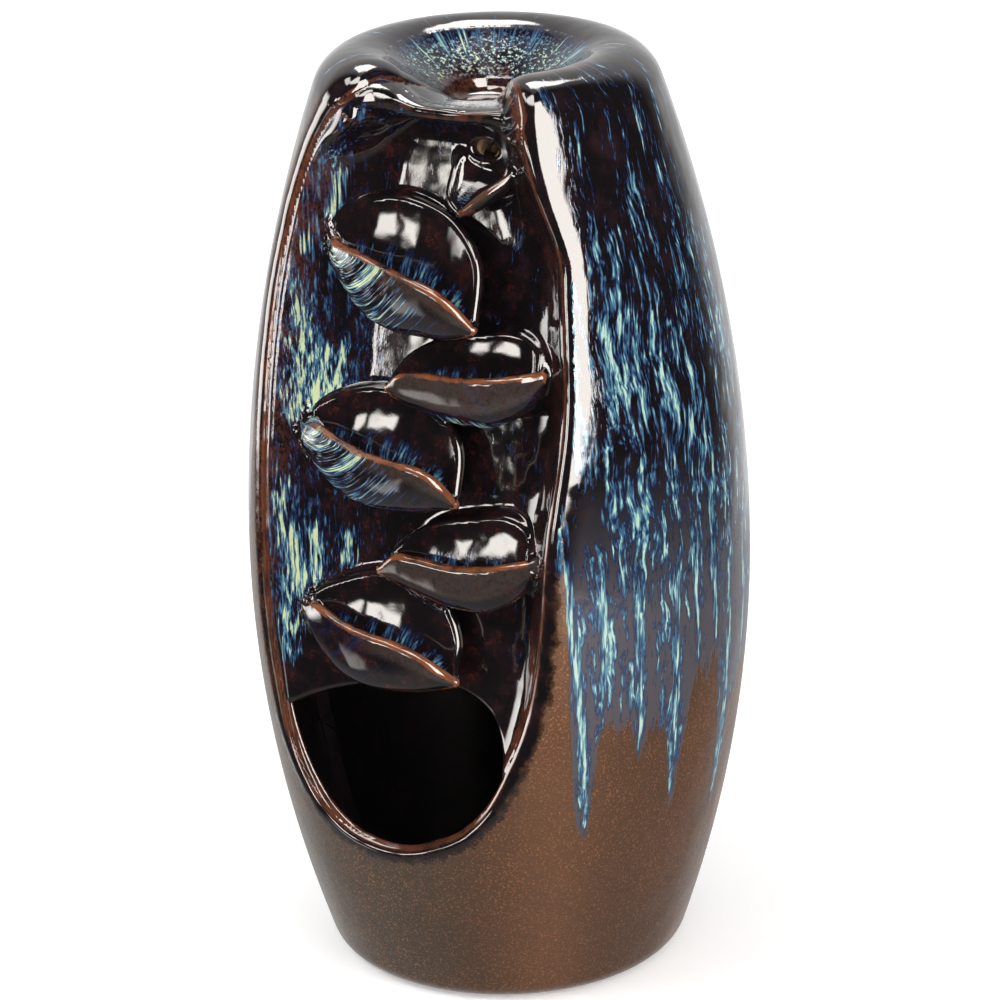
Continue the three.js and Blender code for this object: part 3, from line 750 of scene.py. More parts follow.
class Tree:
    """Short ways to add and join nodes in one tree."""

    def __init__(self, tree):
        self.tree = tree
        tree.nodes.clear()

    def add(self, kind, inputs=None, **settings):
        node = self.tree.nodes.new(kind)
        for name, value in settings.items():
            setattr(node, name, value)
        for name, value in (inputs or {}).items():
            self.feed(node.inputs[name], value)
        return node

    def feed(self, socket, value):
        if isinstance(value, Value):
            self.tree.links.new(value.socket, socket)
        elif value is not None:
            socket.default_value = value

    def give(self, kind, inputs=None, output=0, **settings):
        """One value of a new node."""
        return Value(self, self.add(kind, inputs, **settings).outputs[output])

    def give_all(self, kind, inputs=None, **settings):
        """All values of a new node, by name."""
        return {socket.name: Value(self, socket) for socket in self.add(kind, inputs, **settings).outputs}

    def math(self, operation, a, b=None, c=None, clamp=False):
        return self.give("ShaderNodeMath", {0: a, 1: b, 2: c}, operation=operation, use_clamp=clamp)

    def most(self, value, *others):
        for other in others:
            value = self.math("MAXIMUM", value, other)
        return value

    def band(self, value, low, high, to_low=0.0, to_high=1.0, kind="SMOOTHSTEP"):
        """Goes from one number to another while the value goes from low to high."""
        ends = {"Value": value, "From Min": low, "From Max": high, "To Min": to_low, "To Max": to_high}
        return self.give("ShaderNodeMapRange", ends, interpolation_type=kind)

    def within(self, value, low, high, soft):
        """One between two limits and zero outside, with soft ends."""
        return self.band(value, low - soft, low + soft) * self.band(value, high - soft, high + soft, 1.0, 0.0)

    def blend(self, share, a, b):
        """One number where share is zero and another where it is one."""
        return self.give("ShaderNodeMix", {0: share, 2: a, 3: b})

    def mix(self, share, a, b):
        """One colour where share is zero and another where it is one."""
        a, b = [c if isinstance(c, Value) else (*c, 1) for c in (a, b)]
        return self.give("ShaderNodeMix", {0: share, 6: a, 7: b}, 2, data_type="RGBA")

    def noise(self, vector, scale, detail=2.0, rough=0.5, distort=0.0, output=0):
        inputs = {"Scale": scale, "Detail": detail, "Roughness": rough, "Distortion": distort, "Vector": vector}
        return self.give("ShaderNodeTexNoise", inputs, output)

    def stretched(self, vector, factors, detail=2.0, rough=0.6):
        """Noise of cell size one, in a space scaled along each axis."""
        return self.noise(self.vectors("MULTIPLY", vector, factors), 1.0, detail, rough)

    def vector(self, x, y, z):
        return self.give("ShaderNodeCombineXYZ", {0: x, 1: y, 2: z})

    def split(self, vector):
        return self.give_all("ShaderNodeSeparateXYZ", {0: vector}).values()

    def vectors(self, operation, a, b):
        return self.give("ShaderNodeVectorMath", {0: a, 1: b}, operation=operation)

    def mark(self, name):
        """A value that the mesh carries."""
        return self.give("ShaderNodeAttribute", output="Fac", attribute_name=name)


def new_group(name, inputs, outputs):
    """An empty shader node group: its tree, ways to fill it, its given values and its output sockets."""
    tree = bpy.data.node_groups.new(name, "ShaderNodeTree")
    for way, sockets in (("INPUT", inputs), ("OUTPUT", outputs)):
        for label, kind in sockets.items():
            tree.interface.new_socket(label, in_out=way, socket_type="NodeSocket" + kind)
    t = Tree(tree)
    return tree, t, t.give_all("NodeGroupInput"), t.add("NodeGroupOutput").inputs


def place_group():
    """Where a point lies on the burner, in millimetres and degrees."""
    sockets = {"Around": "Float", "Height": "Float", "Radius": "Float", "Place": "Vector", "Meridian": "Vector"}
    tree, t, _, result = new_group("clay place", {}, sockets)
    place = t.vectors("MULTIPLY", t.give("ShaderNodeTexCoord", output="Object"), (1 / MM, 1 / MM, 1 / MM))
    x, y, z = t.split(place)
    radius = t.math("SQRT", x * x + y * y)
    around = t.math("DEGREES", t.math("ARCTAN2", x, -y))
    fall = z - t.math("MINIMUM", radius - UNROLL_FROM, 0.0)
    size = UNROLL_RADIUS / t.most(radius, 0.5)
    meridian = t.vector(x * size, y * size, fall)
    for label, value in zip(sockets, (around, z, radius, place, meridian)):
        t.feed(result[label], value)
    return tree


def runs_group():
    """Streaks of glaze that ran down: long thin cells, crowded where Cover is high."""
    inputs = {"Vector": "Vector", "Width": "Float", "Length": "Float", "Cover": "Float", "Seed": "Float"}
    tree, t, given, result = new_group("glaze runs", inputs, {"Run": "Float"})
    place, seed = given["Vector"], given["Seed"]
    sway = t.vectors("SUBTRACT", t.noise(place, 0.05, output="Color"), (0.5, 0.5, 0.5))
    moved = t.vectors("ADD", place, t.vectors("MULTIPLY", sway, (7, 7, 9)))
    moved = t.vectors("ADD", moved, t.vector(seed, seed, seed))
    across = 1.0 / given["Width"]
    flat = t.vectors("MULTIPLY", moved, t.vector(across, across, 1.0 / given["Length"]))
    coarse = t.noise(flat, 1.0, 2.0, 0.55, 0.25)
    fine = t.stretched(flat, (2.9, 2.9, 3.4))
    crowd = t.stretched(flat, (0.24, 0.24, 0.36), 1.0, 0.5)
    total = coarse * 0.42 + (fine * 0.36 + crowd * 0.22)
    least = t.band(given["Cover"], 0.0, 1.0, 0.62, 0.38, "LINEAR")
    t.feed(result["Run"], t.math("DIVIDE", total - least, 0.14, clamp=True))
    return tree


def run_colour_group(setup):
    """The colours that a run goes through from its thin edge to its thick middle."""
    inputs = {"Run": "Float", "Ground": "Color", "Thick": "Color"}
    tree, t, given, result = new_group("run colours", inputs, {"Color": "Color"})
    colour, run = given["Ground"], given["Run"]
    tints = ((setup.deep_blue, 0.0, 0.3), (setup.steel_blue, 0.22, 0.55), (setup.teal, 0.5, 0.78))
    for tint, low, high in tints:
        colour = t.mix(t.band(run, low, high), colour, tint)
    t.feed(result["Color"], t.mix(t.band(run, 0.72, 0.98), colour, given["Thick"]))
    return tree


def shared_group(name, build, *values):
    return bpy.data.node_groups.get(name) or build(*values)


def shared_material(name, fill, *values):
    """The material of that name, filled on its first use."""
    material = bpy.data.materials.get(name)
    if not material:
        material = bpy.data.materials.new(name)
        material.use_nodes = True
        fill(Tree(material.node_tree), *values)
    return material


def finish_surface(t, colour, roughness, height):
    """The shader itself. Height is in millimetres."""
    bump = t.give("ShaderNodeBump", {"Strength": 1.0, "Distance": MM, "Height": height})
    look = {
        "Base Color": colour, "Roughness": roughness, "Normal": bump, "IOR": GLAZE_IOR,
        "Specular Tint": WARM_GLOSS}
    t.add("ShaderNodeOutputMaterial", {"Surface": t.give("ShaderNodeBsdfPrincipled", look)})


class Glaze:
    """Black glossy glaze with blue and green runs above bare satin stoneware.

    It follows the values that the mesh carries. Heights and widths are in millimetres and angles in degrees.
    """

    RIGHT_CUPS = ((152.6, 171.5), (108, 128))  # heights of the two cups on the right
    SPOUT_FROM = (190, 196)  # the spout lies above these heights

    def __init__(self, t, setup):
        self.t, self.setup = t, setup
        place = t.give_all("ShaderNodeGroup", node_tree=shared_group("clay place", place_group))
        self.around, self.height, self.radius, self.place, self.meridian = place.values()
        self.bend, self.off, self.drip, self.stream = [t.mark(n) for n in ("bend", "off", "drip", "stream")]
        self.along, self.turn, self.inside = [t.mark(n) for n in ("along", "round", "within")]
        self.shown = t.band(t.mark("unseen"), 0.3, 0.7, 1.0, 0.0)
        self.wobble = t.noise(self.place, 0.35, 3.0, 0.6) - 0.5
        self.strand = t.stretched(self.meridian, (1.1, 1.1, 0.12)) - 0.5
        self.mottle = t.noise(self.place, 0.16, 4.0, 0.62)
        self.grains = t.noise(self.place, 1.1, 3.0, 0.7)

        # Where each finish lies.
        self.window = t.band(self.off, -1.0, 2.2, 1.0, 0.0) * t.band(self.height, 220, 224, 1.0, 0.0)
        self.dish = t.band(self.radius, 21, 28.5, 1.0, 0.0) * t.band(self.height, 213.5, 215.5)
        self.outer = (1.0 - self.window) * (1.0 - self.dish)
        self.leaf = t.band(t.mark("cup"), 0.35, 0.65)
        self.right_cup = t.most(*[t.within(self.height, low, high, 0.5) for low, high in self.RIGHT_CUPS])
        drip_edge = self.drip + (self.wobble * 3.0 + self.strand * 14.0)
        lip_edge = self.off + self.wobble * 5.0
        on_lip = t.band(lip_edge, 2.2, 5.4, 1.0, 0.0)
        self.glazed = t.most(t.band(drip_edge, -2.0, 1.4), on_lip, 1.0 - self.shown)

        run = self.all_runs()
        self.finish(run, self.colour(run))

    def runs(self, vector, width, length, cover, seed):
        inputs = {"Vector": vector, "Width": width, "Length": length, "Cover": cover, "Seed": seed}
        return self.t.give("ShaderNodeGroup", inputs, node_tree=shared_group("glaze runs", runs_group))

    def barrel_runs(self):
        """Runs down the barrel, from the rim and from beside the window."""
        t, around, height = self.t, self.around, self.height
        near_lip = t.band(height, 136, 154, 44.0, 47.6) + self.wobble * 3.0
        beside = t.band(around, near_lip, near_lip + 3.0)
        start = t.most(beside, t.band(around, -50, -60), t.band(height, 220, 226))
        patch = t.stretched(self.meridian, (0.13, 0.13, 0.03))
        cover = t.band(height, 165, 230, 0.62, 0.28) + t.band(height, 84, 122, -0.08, 0.0)
        cover = cover + (patch - 0.52) * 0.9 - t.band(abs(self.drip), 0.0, 9.0, 0.1, 0.0)
        return self.runs(self.meridian, 1.8, 14.0, cover * start, 3.0) * start * self.outer

    def drawn_streams(self):
        """The thick streams that are drawn one by one, split up into fibres."""
        t = self.t
        fibre = t.stretched(self.place, (1.7, 1.7, 0.09), 3.0) - 0.5
        core = self.stream + (self.strand * 5.0 + fibre * t.blend(self.window, 4.0, 15.0))
        return t.band(core, t.blend(self.window, -1.0, -1.6), t.blend(self.window, 1.5, 3.4), 1.0, 0.0)

    def panel_runs(self):
        """A few dim runs on the panel, most of them on its left."""
        t = self.t
        x, _, _ = t.split(self.place)
        cover = t.band(x, -27, 4, 0.5, 0.2)
        return self.runs(self.place, 1.7, 9.0, cover, 20.0) * t.band(self.height, 80, 100) * 0.62

    def dish_runs(self):
        """A ring of fine grains in the dish, and streaks that run in from its back."""
        t, radius, back = self.t, self.radius, abs(self.around)
        ring = t.band(radius, 9, 12.5) * t.band(radius, 17, 26, 1.0, 0.25) * t.band(back, 20, 90, 0.35, 1.0)
        grain = t.band(self.grains, 0.47, 0.64) * ring
        streak = self.runs(self.meridian, 3.6, 14.0, t.band(radius, 12, 20) * 0.62, 41.0)
        return t.most(grain, streak * t.band(back, 60, 110) * t.band(radius, 22, 26, 1.0, 0.25))

    def leaf_runs(self):
        """Lashes that slant away under the rims of the left cups, and short ones inside all cups."""
        t, along, turn, inside, height = self.t, self.along, self.turn, self.inside, self.height
        slant = t.vector(along * 55.0 - turn * 24.0, inside * 9.0, turn * 26.0)
        lash = self.runs(slant, 0.95, 14.0, 0.6, 60.0)
        lash = lash * t.within(turn, 0.6, t.band(along, 0.35, 0.75, 1.1, 0.9), 0.03)
        lash = lash * t.band(inside, 0.4, 0.6, 1.0, 0.0) * t.band(along, 0.45, 0.85, 1.35, 0.2)
        lash = lash * t.band(height, 92, 150, 0.15, 1.0) * (1.0 - self.right_cup * 0.85)
        lash = lash * t.band(height, 198, 200, 1.0, 0.0)
        pool = self.runs(t.vector(along * 50.0, 4.0, turn * 30.0), 1.3, 6.0, 0.62, 80.0)
        pool = pool * t.within(turn, 0.2, 0.42, 0.05) * t.band(inside, 0.4, 0.6)
        return t.most(lash, pool * t.within(along, 0.3, 0.93, 0.08) * 0.8)

    def all_runs(self):
        """How thick the coloured glaze is, from zero to one."""
        t, streams = self.t, self.drawn_streams()
        run = t.most(self.barrel_runs(), streams)
        run = t.blend(self.window, run, t.most(self.panel_runs(), streams))
        run = t.blend(self.dish, run, self.dish_runs())
        return t.blend(self.leaf, run, self.leaf_runs()) * self.shown

    def stoneware(self):
        """Satin stoneware: cloudy, with fine orange-brown specks, a patch of painted light on the right front,
        and painted shade and grey sheen on the left.
        """
        t, setup, place = self.t, self.setup, self.place
        cloud = t.stretched(place, (0.03, 0.03, 0.02), 3.0)
        specks = t.band(t.noise(place, 1.9, 3.0, 0.7), 0.5, 0.74) * t.band(cloud, 0.3, 0.65, 0.9, 0.5)
        # Painted light: a brighter orange-brown patch on the right front, where the bright panel on the right
        # would light the satin clay.
        glow = t.within(self.around, 34, 46, 14) * t.band(cloud, 0.3, 0.6, 0.03, 0.16)
        dark = t.band(cloud * 0.7 + self.mottle * 0.3, 0.38, 0.66, 0.0, 0.6)
        satin = t.mix(dark, setup.clay, setup.clay_dark)
        # Painted shade and grey sheen: the stoneware on the left is greyer and darker than in front.
        satin = t.mix(t.within(self.around, -120, 12, 20) * 0.8, satin, setup.clay_painted_sheen)
        return t.mix(glow, t.mix(specks, satin, setup.copper_and_painted_light), setup.copper_and_painted_light)

    def colour(self, run):
        """The ground, the runs over it and rust where the glaze thinned over edges."""
        t, setup, off, turn, height = self.t, self.setup, self.off, self.turn, self.height
        mottle, grains, leaf, shown = self.mottle, self.grains, self.leaf, self.shown
        black = t.mix(t.band(mottle, 0.45, 0.75), setup.black, setup.plum)
        # Lighter grey low on the barrel between the runs: thin glaze, with painted sheen in it.
        thin = self.outer * shown * t.band(off, 4, 9) * t.band(height, 100, 148, 0.9, 0.0)
        black = t.mix(thin, black, setup.slate_and_sheen)
        inputs = {
            "Run": run * self.glazed,
            "Ground": t.mix(self.glazed, self.stoneware(), black),
            "Thick": t.mix(t.most(self.window, self.dish), setup.pale_aqua, setup.pale_green),
        }
        colours = shared_group("run colours", run_colour_group, setup)
        colour = t.give("ShaderNodeGroup", inputs, node_tree=colours)

        side_lip = t.within(off, -3.5, 8.0, 2.0) * t.band(self.around, -36, -44)
        side_lip = side_lip * t.band(grains, 0.35, 0.6) * t.band(mottle, 0.38, 0.6, 0.2, 0.85)
        colour = t.mix(side_lip * self.glazed * shown, colour, setup.rust_dark)

        crest = t.within(off + self.wobble * 1.2, -0.75, 0.55, 0.3) * shown * (1.0 - leaf)
        crest = crest * t.band(height, 222, 228, 1.0, 0.0) * t.band(mottle, 0.35, 0.6, 0.35, 0.9)
        crest = crest * (1.0 - t.band(self.around, 20, 30) * t.within(height, 100, 216, 8) * 0.85)
        ridge = t.within(self.radius, 29.2, 31.4, 0.9) * t.within(self.around, 32, 84, 8)
        ridge = ridge * t.band(grains, 0.35, 0.6) * t.band(height, 222, 225) * 0.8
        colour = t.mix(t.most(crest, ridge), colour, setup.rust_dark)

        # Brownish band under the cups' front rims: partly the glaze thinning there, partly a painted grey
        # reflection.
        under_rim_with_sheen = leaf * shown * t.within(turn, t.blend(self.right_cup, 0.95, 0.82), 1.2, 0.03)
        under_rim_with_sheen = under_rim_with_sheen * t.band(self.inside, 0.3, 0.6, 0.6, 0.0) * t.band(grains, 0.25, 0.6, 0.35, 0.85)
        under_rim_with_sheen = under_rim_with_sheen * t.blend(self.right_cup, t.band(self.along, 0.3, 0.65), 1.0)
        colour = t.mix(under_rim_with_sheen, colour, setup.umber_and_painted_sheen)

        red = self.window * shown * t.band(t.noise(self.place, 0.5, 4.0, 0.7), 0.5, 0.72)
        red = red * t.band(mottle, 0.4, 0.62) * 0.8 * t.band(run, 0.1, 0.4, 1.0, 0.0)
        colour = t.mix(red, colour, setup.maroon)

        worn = t.band(self.bend + self.wobble * 0.6, 0.52, 0.8) * shown
        worn = worn * t.blend(leaf, 0.35, t.band(turn, 0.6, 0.8)) * t.band(mottle, 0.3, 0.55, 0.45, 0.95)
        worn = worn * (1.0 - leaf * t.band(height, *self.SPOUT_FROM) * 0.7)
        return t.mix(worn, colour, setup.rust)

    def finish(self, run, colour):
        """Glossy glaze with raised runs, and satin where it is thin or missing."""
        t, place = self.t, self.place
        thin = t.band(self.off, 3.0, 6.5) * t.band(self.height, 95, 135, 1.0, 0.0)
        satin = t.most(1.0 - self.glazed, thin)
        roughness = t.band(satin, 0.0, 1.0, 0.035, 0.34) + (self.wobble + 0.5) * 0.05 + run * 0.05
        waves = t.noise(place, 0.07) * 0.5 + t.noise(place, 1.6, 3.0) * t.band(satin, 0.0, 1.0, 0.004, 0.05)
        finish_surface(t, colour, roughness, run * 0.018 + waves + self.glazed * 0.08)


def bare_clay(t, setup):
    """Unglazed stoneware: dry, speckled and a little worn at its edges."""
    place = t.give_all("ShaderNodeGroup", node_tree=shared_group("clay place", place_group))
    mottle = t.noise(place["Place"], 0.12, 4.0, 0.6)
    grit = t.noise(place["Place"], 2.2, 3.0, 0.6)
    colour = t.mix(t.band(mottle, 0.3, 0.7), setup.biscuit, setup.clay)
    colour = t.mix(t.band(grit, 0.6, 0.72, 0.0, 0.6), colour, setup.copper_and_painted_light)
    rubbed = t.band(place["Radius"], 34, 40) * t.band(mottle, 0.4, 0.6) * 0.35
    colour = t.mix(rubbed, colour, setup.biscuit)
    turned = t.math("SINE", place["Radius"] * 2.4)
    finish_surface(t, colour, t.band(grit, 0.3, 0.7, 0.7, 0.85), grit * 0.12 + turned * 0.03)


# ---- Pieces ----
SHAPED = {}


def shaped(setup):
    """The burner's surface, worked out once and shared by every glazed piece."""
    if not SHAPED:
        clay = Clay()
        step = CELL * setup.fineness
        far = BELLY_RADIUS + 1.5
        points, quads = net(clay, (-far, -far, -2), (far, far, HEIGHT + 2), step)
        points = settle(clay, points, 2, step)
        owner = clay.owner(points[quads].mean(1))
        points = smooth_seams(points, quads, owner, clay)
        SHAPED.update(clay=clay, points=points, quads=quads, owner=owner)
    return SHAPED["clay"], SHAPED["points"], SHAPED["quads"], SHAPED["owner"]


def glazed_piece(setup, number, node, wall):
    """One glazed piece. Its wall is a thickness, or a function of points that gives one."""
    clay, points, quads, owner = shaped(setup)
    if not callable(wall):
        thickness, wall = wall, lambda p: np.full(len(p), thickness)
    piece = clay_piece(node + "_glazed", points, quads[owner == number], clay, wall)
    piece.data.materials.append(shared_material("fired glaze", Glaze, setup))
    claim(piece, "glaze", node)


def turned(name, profile, count):
    """A mesh of revolution. Its profile of radius and height starts on the axis, and ends there or is open."""
    closed = profile[-1][0] == 0
    rings = np.array(profile[1:-1] if closed else profile[1:], float)
    angle = np.linspace(0, 2 * math.pi, count, endpoint=False)
    x, y = np.outer(rings[:, 0], np.sin(angle)), -np.outer(rings[:, 0], np.cos(angle))
    ring = np.stack([x, y, np.repeat(rings[:, 1:], count, 1)], -1).reshape(-1, 3)
    ends = [[(0, 0, height)] for _, height in (profile[0], profile[-1])]
    points = np.concatenate([ends[0], ring, ends[1]] if closed else [ends[0], ring])
    here = np.arange(count)
    after = np.roll(here, -1)
    last = 1 + (len(rings) - 1) * count
    faces = [(np.zeros_like(here), 1 + after, 1 + here)]
    for a in range(1, last, count):
        b = a + count
        faces += [(a + here, a + after, b + after), (a + here, b + after, b + here)]
    if closed:
        faces.append((np.full(count, len(points) - 1), last + here, last + after))
    return mesh_from(name, points, np.concatenate([np.stack(face, 1) for face in faces]))


def base_disc(setup):
    """A thrown disc with soft edges and a shallow foot ring under it."""
    low, high = [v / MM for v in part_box("base_disc")]
    top, bottom, wide = high.z, low.z, high.x
    r = setup.disc_round
    turn = np.linspace(0, math.pi / 2, 7)
    profile = [(0, bottom + 0.9), (18, bottom + 0.85), (26, bottom + 0.7), (31, bottom + 0.15)]
    profile += [(33, bottom), (35, bottom)]
    profile += [(wide - r + r * math.sin(a), bottom + r - r * math.cos(a)) for a in turn]
    profile += [(wide - r + r * math.cos(a), top - r + r * math.sin(a)) for a in turn]
    profile += [(32, top), (24, top - 0.1), (16, top), (8, top - 0.12), (0, top - 0.1)]
    piece = new_object("base_disc_bare", turned("base_disc_bare", profile, 160))
    piece.data.materials.append(shared_material("bare clay", bare_clay, setup))
    return piece


def sweep_tree(material):
    """Geometry Nodes that sweep a round tube along the object's own edges, and its inputs' identifiers."""
    tree = bpy.data.node_groups.new("tube along a path", "GeometryNodeTree")
    tree.interface.new_socket("Geometry", in_out="INPUT", socket_type="NodeSocketGeometry")
    sizes = {}
    for label, kind, value in (("Radius", "Float", 0.004), ("Steps", "Int", 60), ("Sides", "Int", 40)):
        socket = tree.interface.new_socket(label, in_out="INPUT", socket_type="NodeSocket" + kind)
        socket.default_value = value
        sizes[label] = socket.identifier
    tree.interface.new_socket("Geometry", in_out="OUTPUT", socket_type="NodeSocketGeometry")
    t = Tree(tree)
    given = t.give_all("NodeGroupInput")
    curve = t.give("GeometryNodeMeshToCurve", {"Mesh": given["Geometry"]})
    curve = t.give("GeometryNodeCurveSplineType", {"Curve": curve}, spline_type="CATMULL_ROM")
    curve = t.give("GeometryNodeResampleCurve", {"Curve": curve, "Count": given["Steps"]})
    ring = {"Resolution": given["Sides"], "Radius": given["Radius"]}
    circle = t.give("GeometryNodeCurvePrimitiveCircle", ring)
    tube = t.give("GeometryNodeCurveToMesh", {"Curve": curve, "Profile Curve": circle})
    tube = t.give("GeometryNodeSetShadeSmooth", {"Geometry": tube, "Shade Smooth": True})
    tube = t.give("GeometryNodeRealizeInstances", {"Geometry": tube})
    tube = t.give("GeometryNodeSetMaterial", {"Geometry": tube, "Material": material})
    t.add("NodeGroupOutput", {"Geometry": tube})
    return tree, sizes


def smoke_duct(setup):
    """The rolled clay tube that leads smoke from the dish to the outlet behind the spout."""
    start, end = np.array((0.0, 0.0, 211.8)), np.array((OUTLET[0], -19.0, 211.0))
    first, second = np.array((0, 0, 202.5)), np.array((OUTLET[0], 0.4 * end[1], end[2] - 4.2))
    t = np.linspace(0, 1, 14)[:, None]
    path = (1 - t) ** 3 * start + 3 * (1 - t) ** 2 * t * first + 3 * (1 - t) * t * t * second + t**3 * end
    mesh = bpy.data.meshes.new("duct path")
    mesh.from_pydata((path * MM).tolist(), [(i, i + 1) for i in range(len(path) - 1)], [])
    piece = new_object("smoke_duct_bare", mesh)
    sweep = piece.modifiers.new("sweep", "NODES")
    sweep.node_group, sizes = sweep_tree(shared_material("bare clay", bare_clay, setup))
    sweep[sizes["Radius"]] = setup.duct_bore / 2
    wall = piece.modifiers.new("wall", "SOLIDIFY")
    wall.thickness, wall.offset = setup.duct_wall, 1.0
    tube = finished(piece)
    piece.modifiers.clear()
    piece.data = tube
    tube.name = "smoke_duct_bare"
    return piece


# ---- Camera, light and floor ----
def make_camera(setup):
    """The camera, which looks at the axis from the front and a little above."""
    data = bpy.data.cameras.new("camera")
    data.lens, data.sensor_width = setup.lens, SENSOR
    data.shift_x, data.shift_y = CAMERA_SHIFT
    data.clip_start, data.clip_end = CAMERA_CLIP
    camera = new_object("camera", data)
    camera.location = setup.camera_place
    aim = Vector((0, 0, setup.camera_aim)) - camera.location
    roll = Matrix.Rotation(math.radians(setup.camera_roll), 3, "Z")
    camera.rotation_euler = (aim.to_track_quat("-Z", "Y").to_matrix() @ roll).to_euler()
    bpy.context.scene.camera = camera


# Bright panels that the gloss shows: left and right azimuth, lowest and highest elevation, softness, strength.
SOFT_BOXES = [
    (32, 73.5, -6, 66, 1.5, 1.0), (175, 232, 52, 76, 3.0, 0.9), (-80, -30, 54, 66, 2.0, 0.6),
    (-40, -30, -3, 6, 1.5, 0.9), (-26, -17, -3, 6, 1.5, 0.9), (-94, -72, -14, 10, 4.0, 0.42),
    (-60, -46, -32, -20, 3.0, 0.15), (-30, 30, 60, 86, 3.0, 0.8)]


def studio_world(setup):
    """White to the camera, even to matt surfaces, and a dark studio with bright panels to the gloss."""
    world = bpy.data.worlds.new("studio")
    bpy.context.scene.world = world
    world.use_nodes = True
    t = Tree(world.node_tree)
    ray = t.give_all("ShaderNodeLightPath")
    x, y, z = t.split(t.give("ShaderNodeTexCoord", output="Generated"))
    azimuth = t.math("DEGREES", t.math("ARCTAN2", x, -y))
    full = t.math("WRAP", azimuth, 260.0, -100.0)
    rise = t.math("DEGREES", t.math("ARCSINE", z))
    # The room behind the camera is dark, and the one behind the burner and the floor's horizon are pale.
    behind = abs(t.math("WRAP", azimuth - CAMERA_AZIMUTH, 180.0, -180.0))
    glow = t.most(t.band(behind, 118, 146, 0.03, 1.0), t.band(rise, -40, -22, 0.4, 0.0))
    for left, right, low, high, soft, share in SOFT_BOXES:
        panel = t.within(full, left, right, soft) * t.within(rise, low, high, soft)
        glow = t.most(glow, panel * (setup.panel_light * share))
    level = t.blend(ray["Is Glossy Ray"], setup.world_light, glow)
    level = t.blend(t.most(ray["Is Camera Ray"], ray["Is Transmission Ray"]), level, 1.0)
    sky = t.give("ShaderNodeBackground", {"Color": (1, 1, 1, 1), "Strength": level})
    t.add("ShaderNodeOutputWorld", {"Surface": sky})


def soft_lamp(name, place, watts):
    """A square lamp that faces the burner and doesn't show in the gloss."""
    lamp = bpy.data.lights.new(name, "AREA")
    lamp.energy, lamp.size = watts, LAMP_SIZE
    holder = new_object(name, lamp)
    holder.location = place
    holder.rotation_euler = (Vector((0, 0, 0.1)) - holder.location).to_track_quat("-Z", "Y").to_euler()
    holder.visible_glossy = False


def pale_floor(t, setup):
    """Matt, and a little brighter to the camera so that it meets the white backdrop."""
    ray = t.give("ShaderNodeLightPath", output="Is Camera Ray")
    grain = t.noise(t.give("ShaderNodeTexCoord", output="Object"), 3.0)
    shade = t.mix(grain, setup.floor, [c * 0.98 for c in setup.floor])
    look = {
        "Base Color": shade, "Roughness": 0.9, "Emission Color": (1, 1, 1, 1),
        "Emission Strength": ray * FLOOR_GLOW}
    t.add("ShaderNodeOutputMaterial", {"Surface": t.give("ShaderNodeBsdfPrincipled", look)})


def studio_floor(setup):
    """A wide disc under the burner."""
    mesh = turned("floor", [(radius / MM, 0) for radius in (0.0, 0.3, 1.0, 3.0, 8.0)], 96)
    mesh.flip_normals()
    mesh.materials.append(shared_material("pale floor", pale_floor, setup))
    floor = new_object("floor", mesh)
    floor.visible_glossy = False


# ---- Settings, operators and panel ----
def srgb(*channels):
    """A colour given as 0 to 255, as the linear values that shaders use."""
    return tuple(c / 255 / 12.92 if c <= 10 else ((c / 255 + 0.055) / 1.055) ** 2.4 for c in channels)


def colour_setting(name, description, *channels):
    """A colour for the sidebar, given as 0 to 255."""
    return FloatVectorProperty(
        name=name, description=description, default=srgb(*channels), subtype="COLOR", min=0, max=1)


def length_setting(name, description, default):
    return FloatProperty(name=name, description=description, default=default, unit="LENGTH")


class ClaySettings(bpy.types.PropertyGroup):
    """Sizes of the burner's hidden members, its colours, and how fine its mesh is."""

    fineness: FloatProperty(
        name="Fineness", description="Scales the size of the mesh cells", default=1.0, min=0.5, max=4)
    duct_bore: length_setting("Duct bore", "Inner width of the smoke duct", 0.0046)
    duct_wall: length_setting("Duct wall", "Thickness of the smoke duct's clay", 0.0018)
    disc_round: FloatProperty(
        name="Disc rounding", description="Radius of the base disc's edge, in millimetres", default=1.2)
    black: colour_setting("Black", "Thick glaze without runs", 20, 17, 19)
    plum: colour_setting("Plum", "Cloudy patches in the black", 42, 26, 30)
    # Thin glaze low on the barrel, with painted sheen in its grey.
    slate_and_sheen: colour_setting("Slate", "Thin glaze between the runs low on the barrel", 82, 78, 84)
    deep_blue: colour_setting("Deep blue", "Thin edge of a run", 26, 34, 66)
    steel_blue: colour_setting("Steel blue", "Body of a run", 62, 100, 132)
    teal: colour_setting("Teal", "Bright body of a run", 108, 158, 164)
    pale_aqua: colour_setting("Pale aqua", "Thick middle of a run on the barrel", 190, 218, 200)
    pale_green: colour_setting("Pale green", "Thick middle of a run on the panel and dish", 208, 220, 168)
    rust: colour_setting("Rust", "Rims where the glaze is thin", 138, 80, 48)
    rust_dark: colour_setting("Dark rust", "The window's crest and its left lip", 92, 52, 36)
    # Band under the cups' rims: thin glaze, with a painted grey reflection in it.
    umber_and_painted_sheen: colour_setting("Umber", "Band under the rims of the leaf cups", 84, 72, 66)
    maroon: colour_setting("Maroon", "Reddish patches on the panel", 74, 32, 20)
    clay: colour_setting("Clay", "Satin stoneware under the runs", 80, 50, 29)
    clay_dark: colour_setting("Dark clay", "Darker patches of the stoneware", 58, 41, 31)
    # Painted shade and grey sheen for the stoneware on the left.
    clay_painted_sheen: colour_setting("Grey clay", "Greyer stoneware on the left", 53, 52, 46)
    # Colour of the fine specks, and of the painted light on the stoneware's right front.
    copper_and_painted_light: colour_setting("Copper", "Fine specks in the stoneware", 186, 126, 80)
    biscuit: colour_setting("Biscuit", "Unglazed clay", 172, 146, 118)


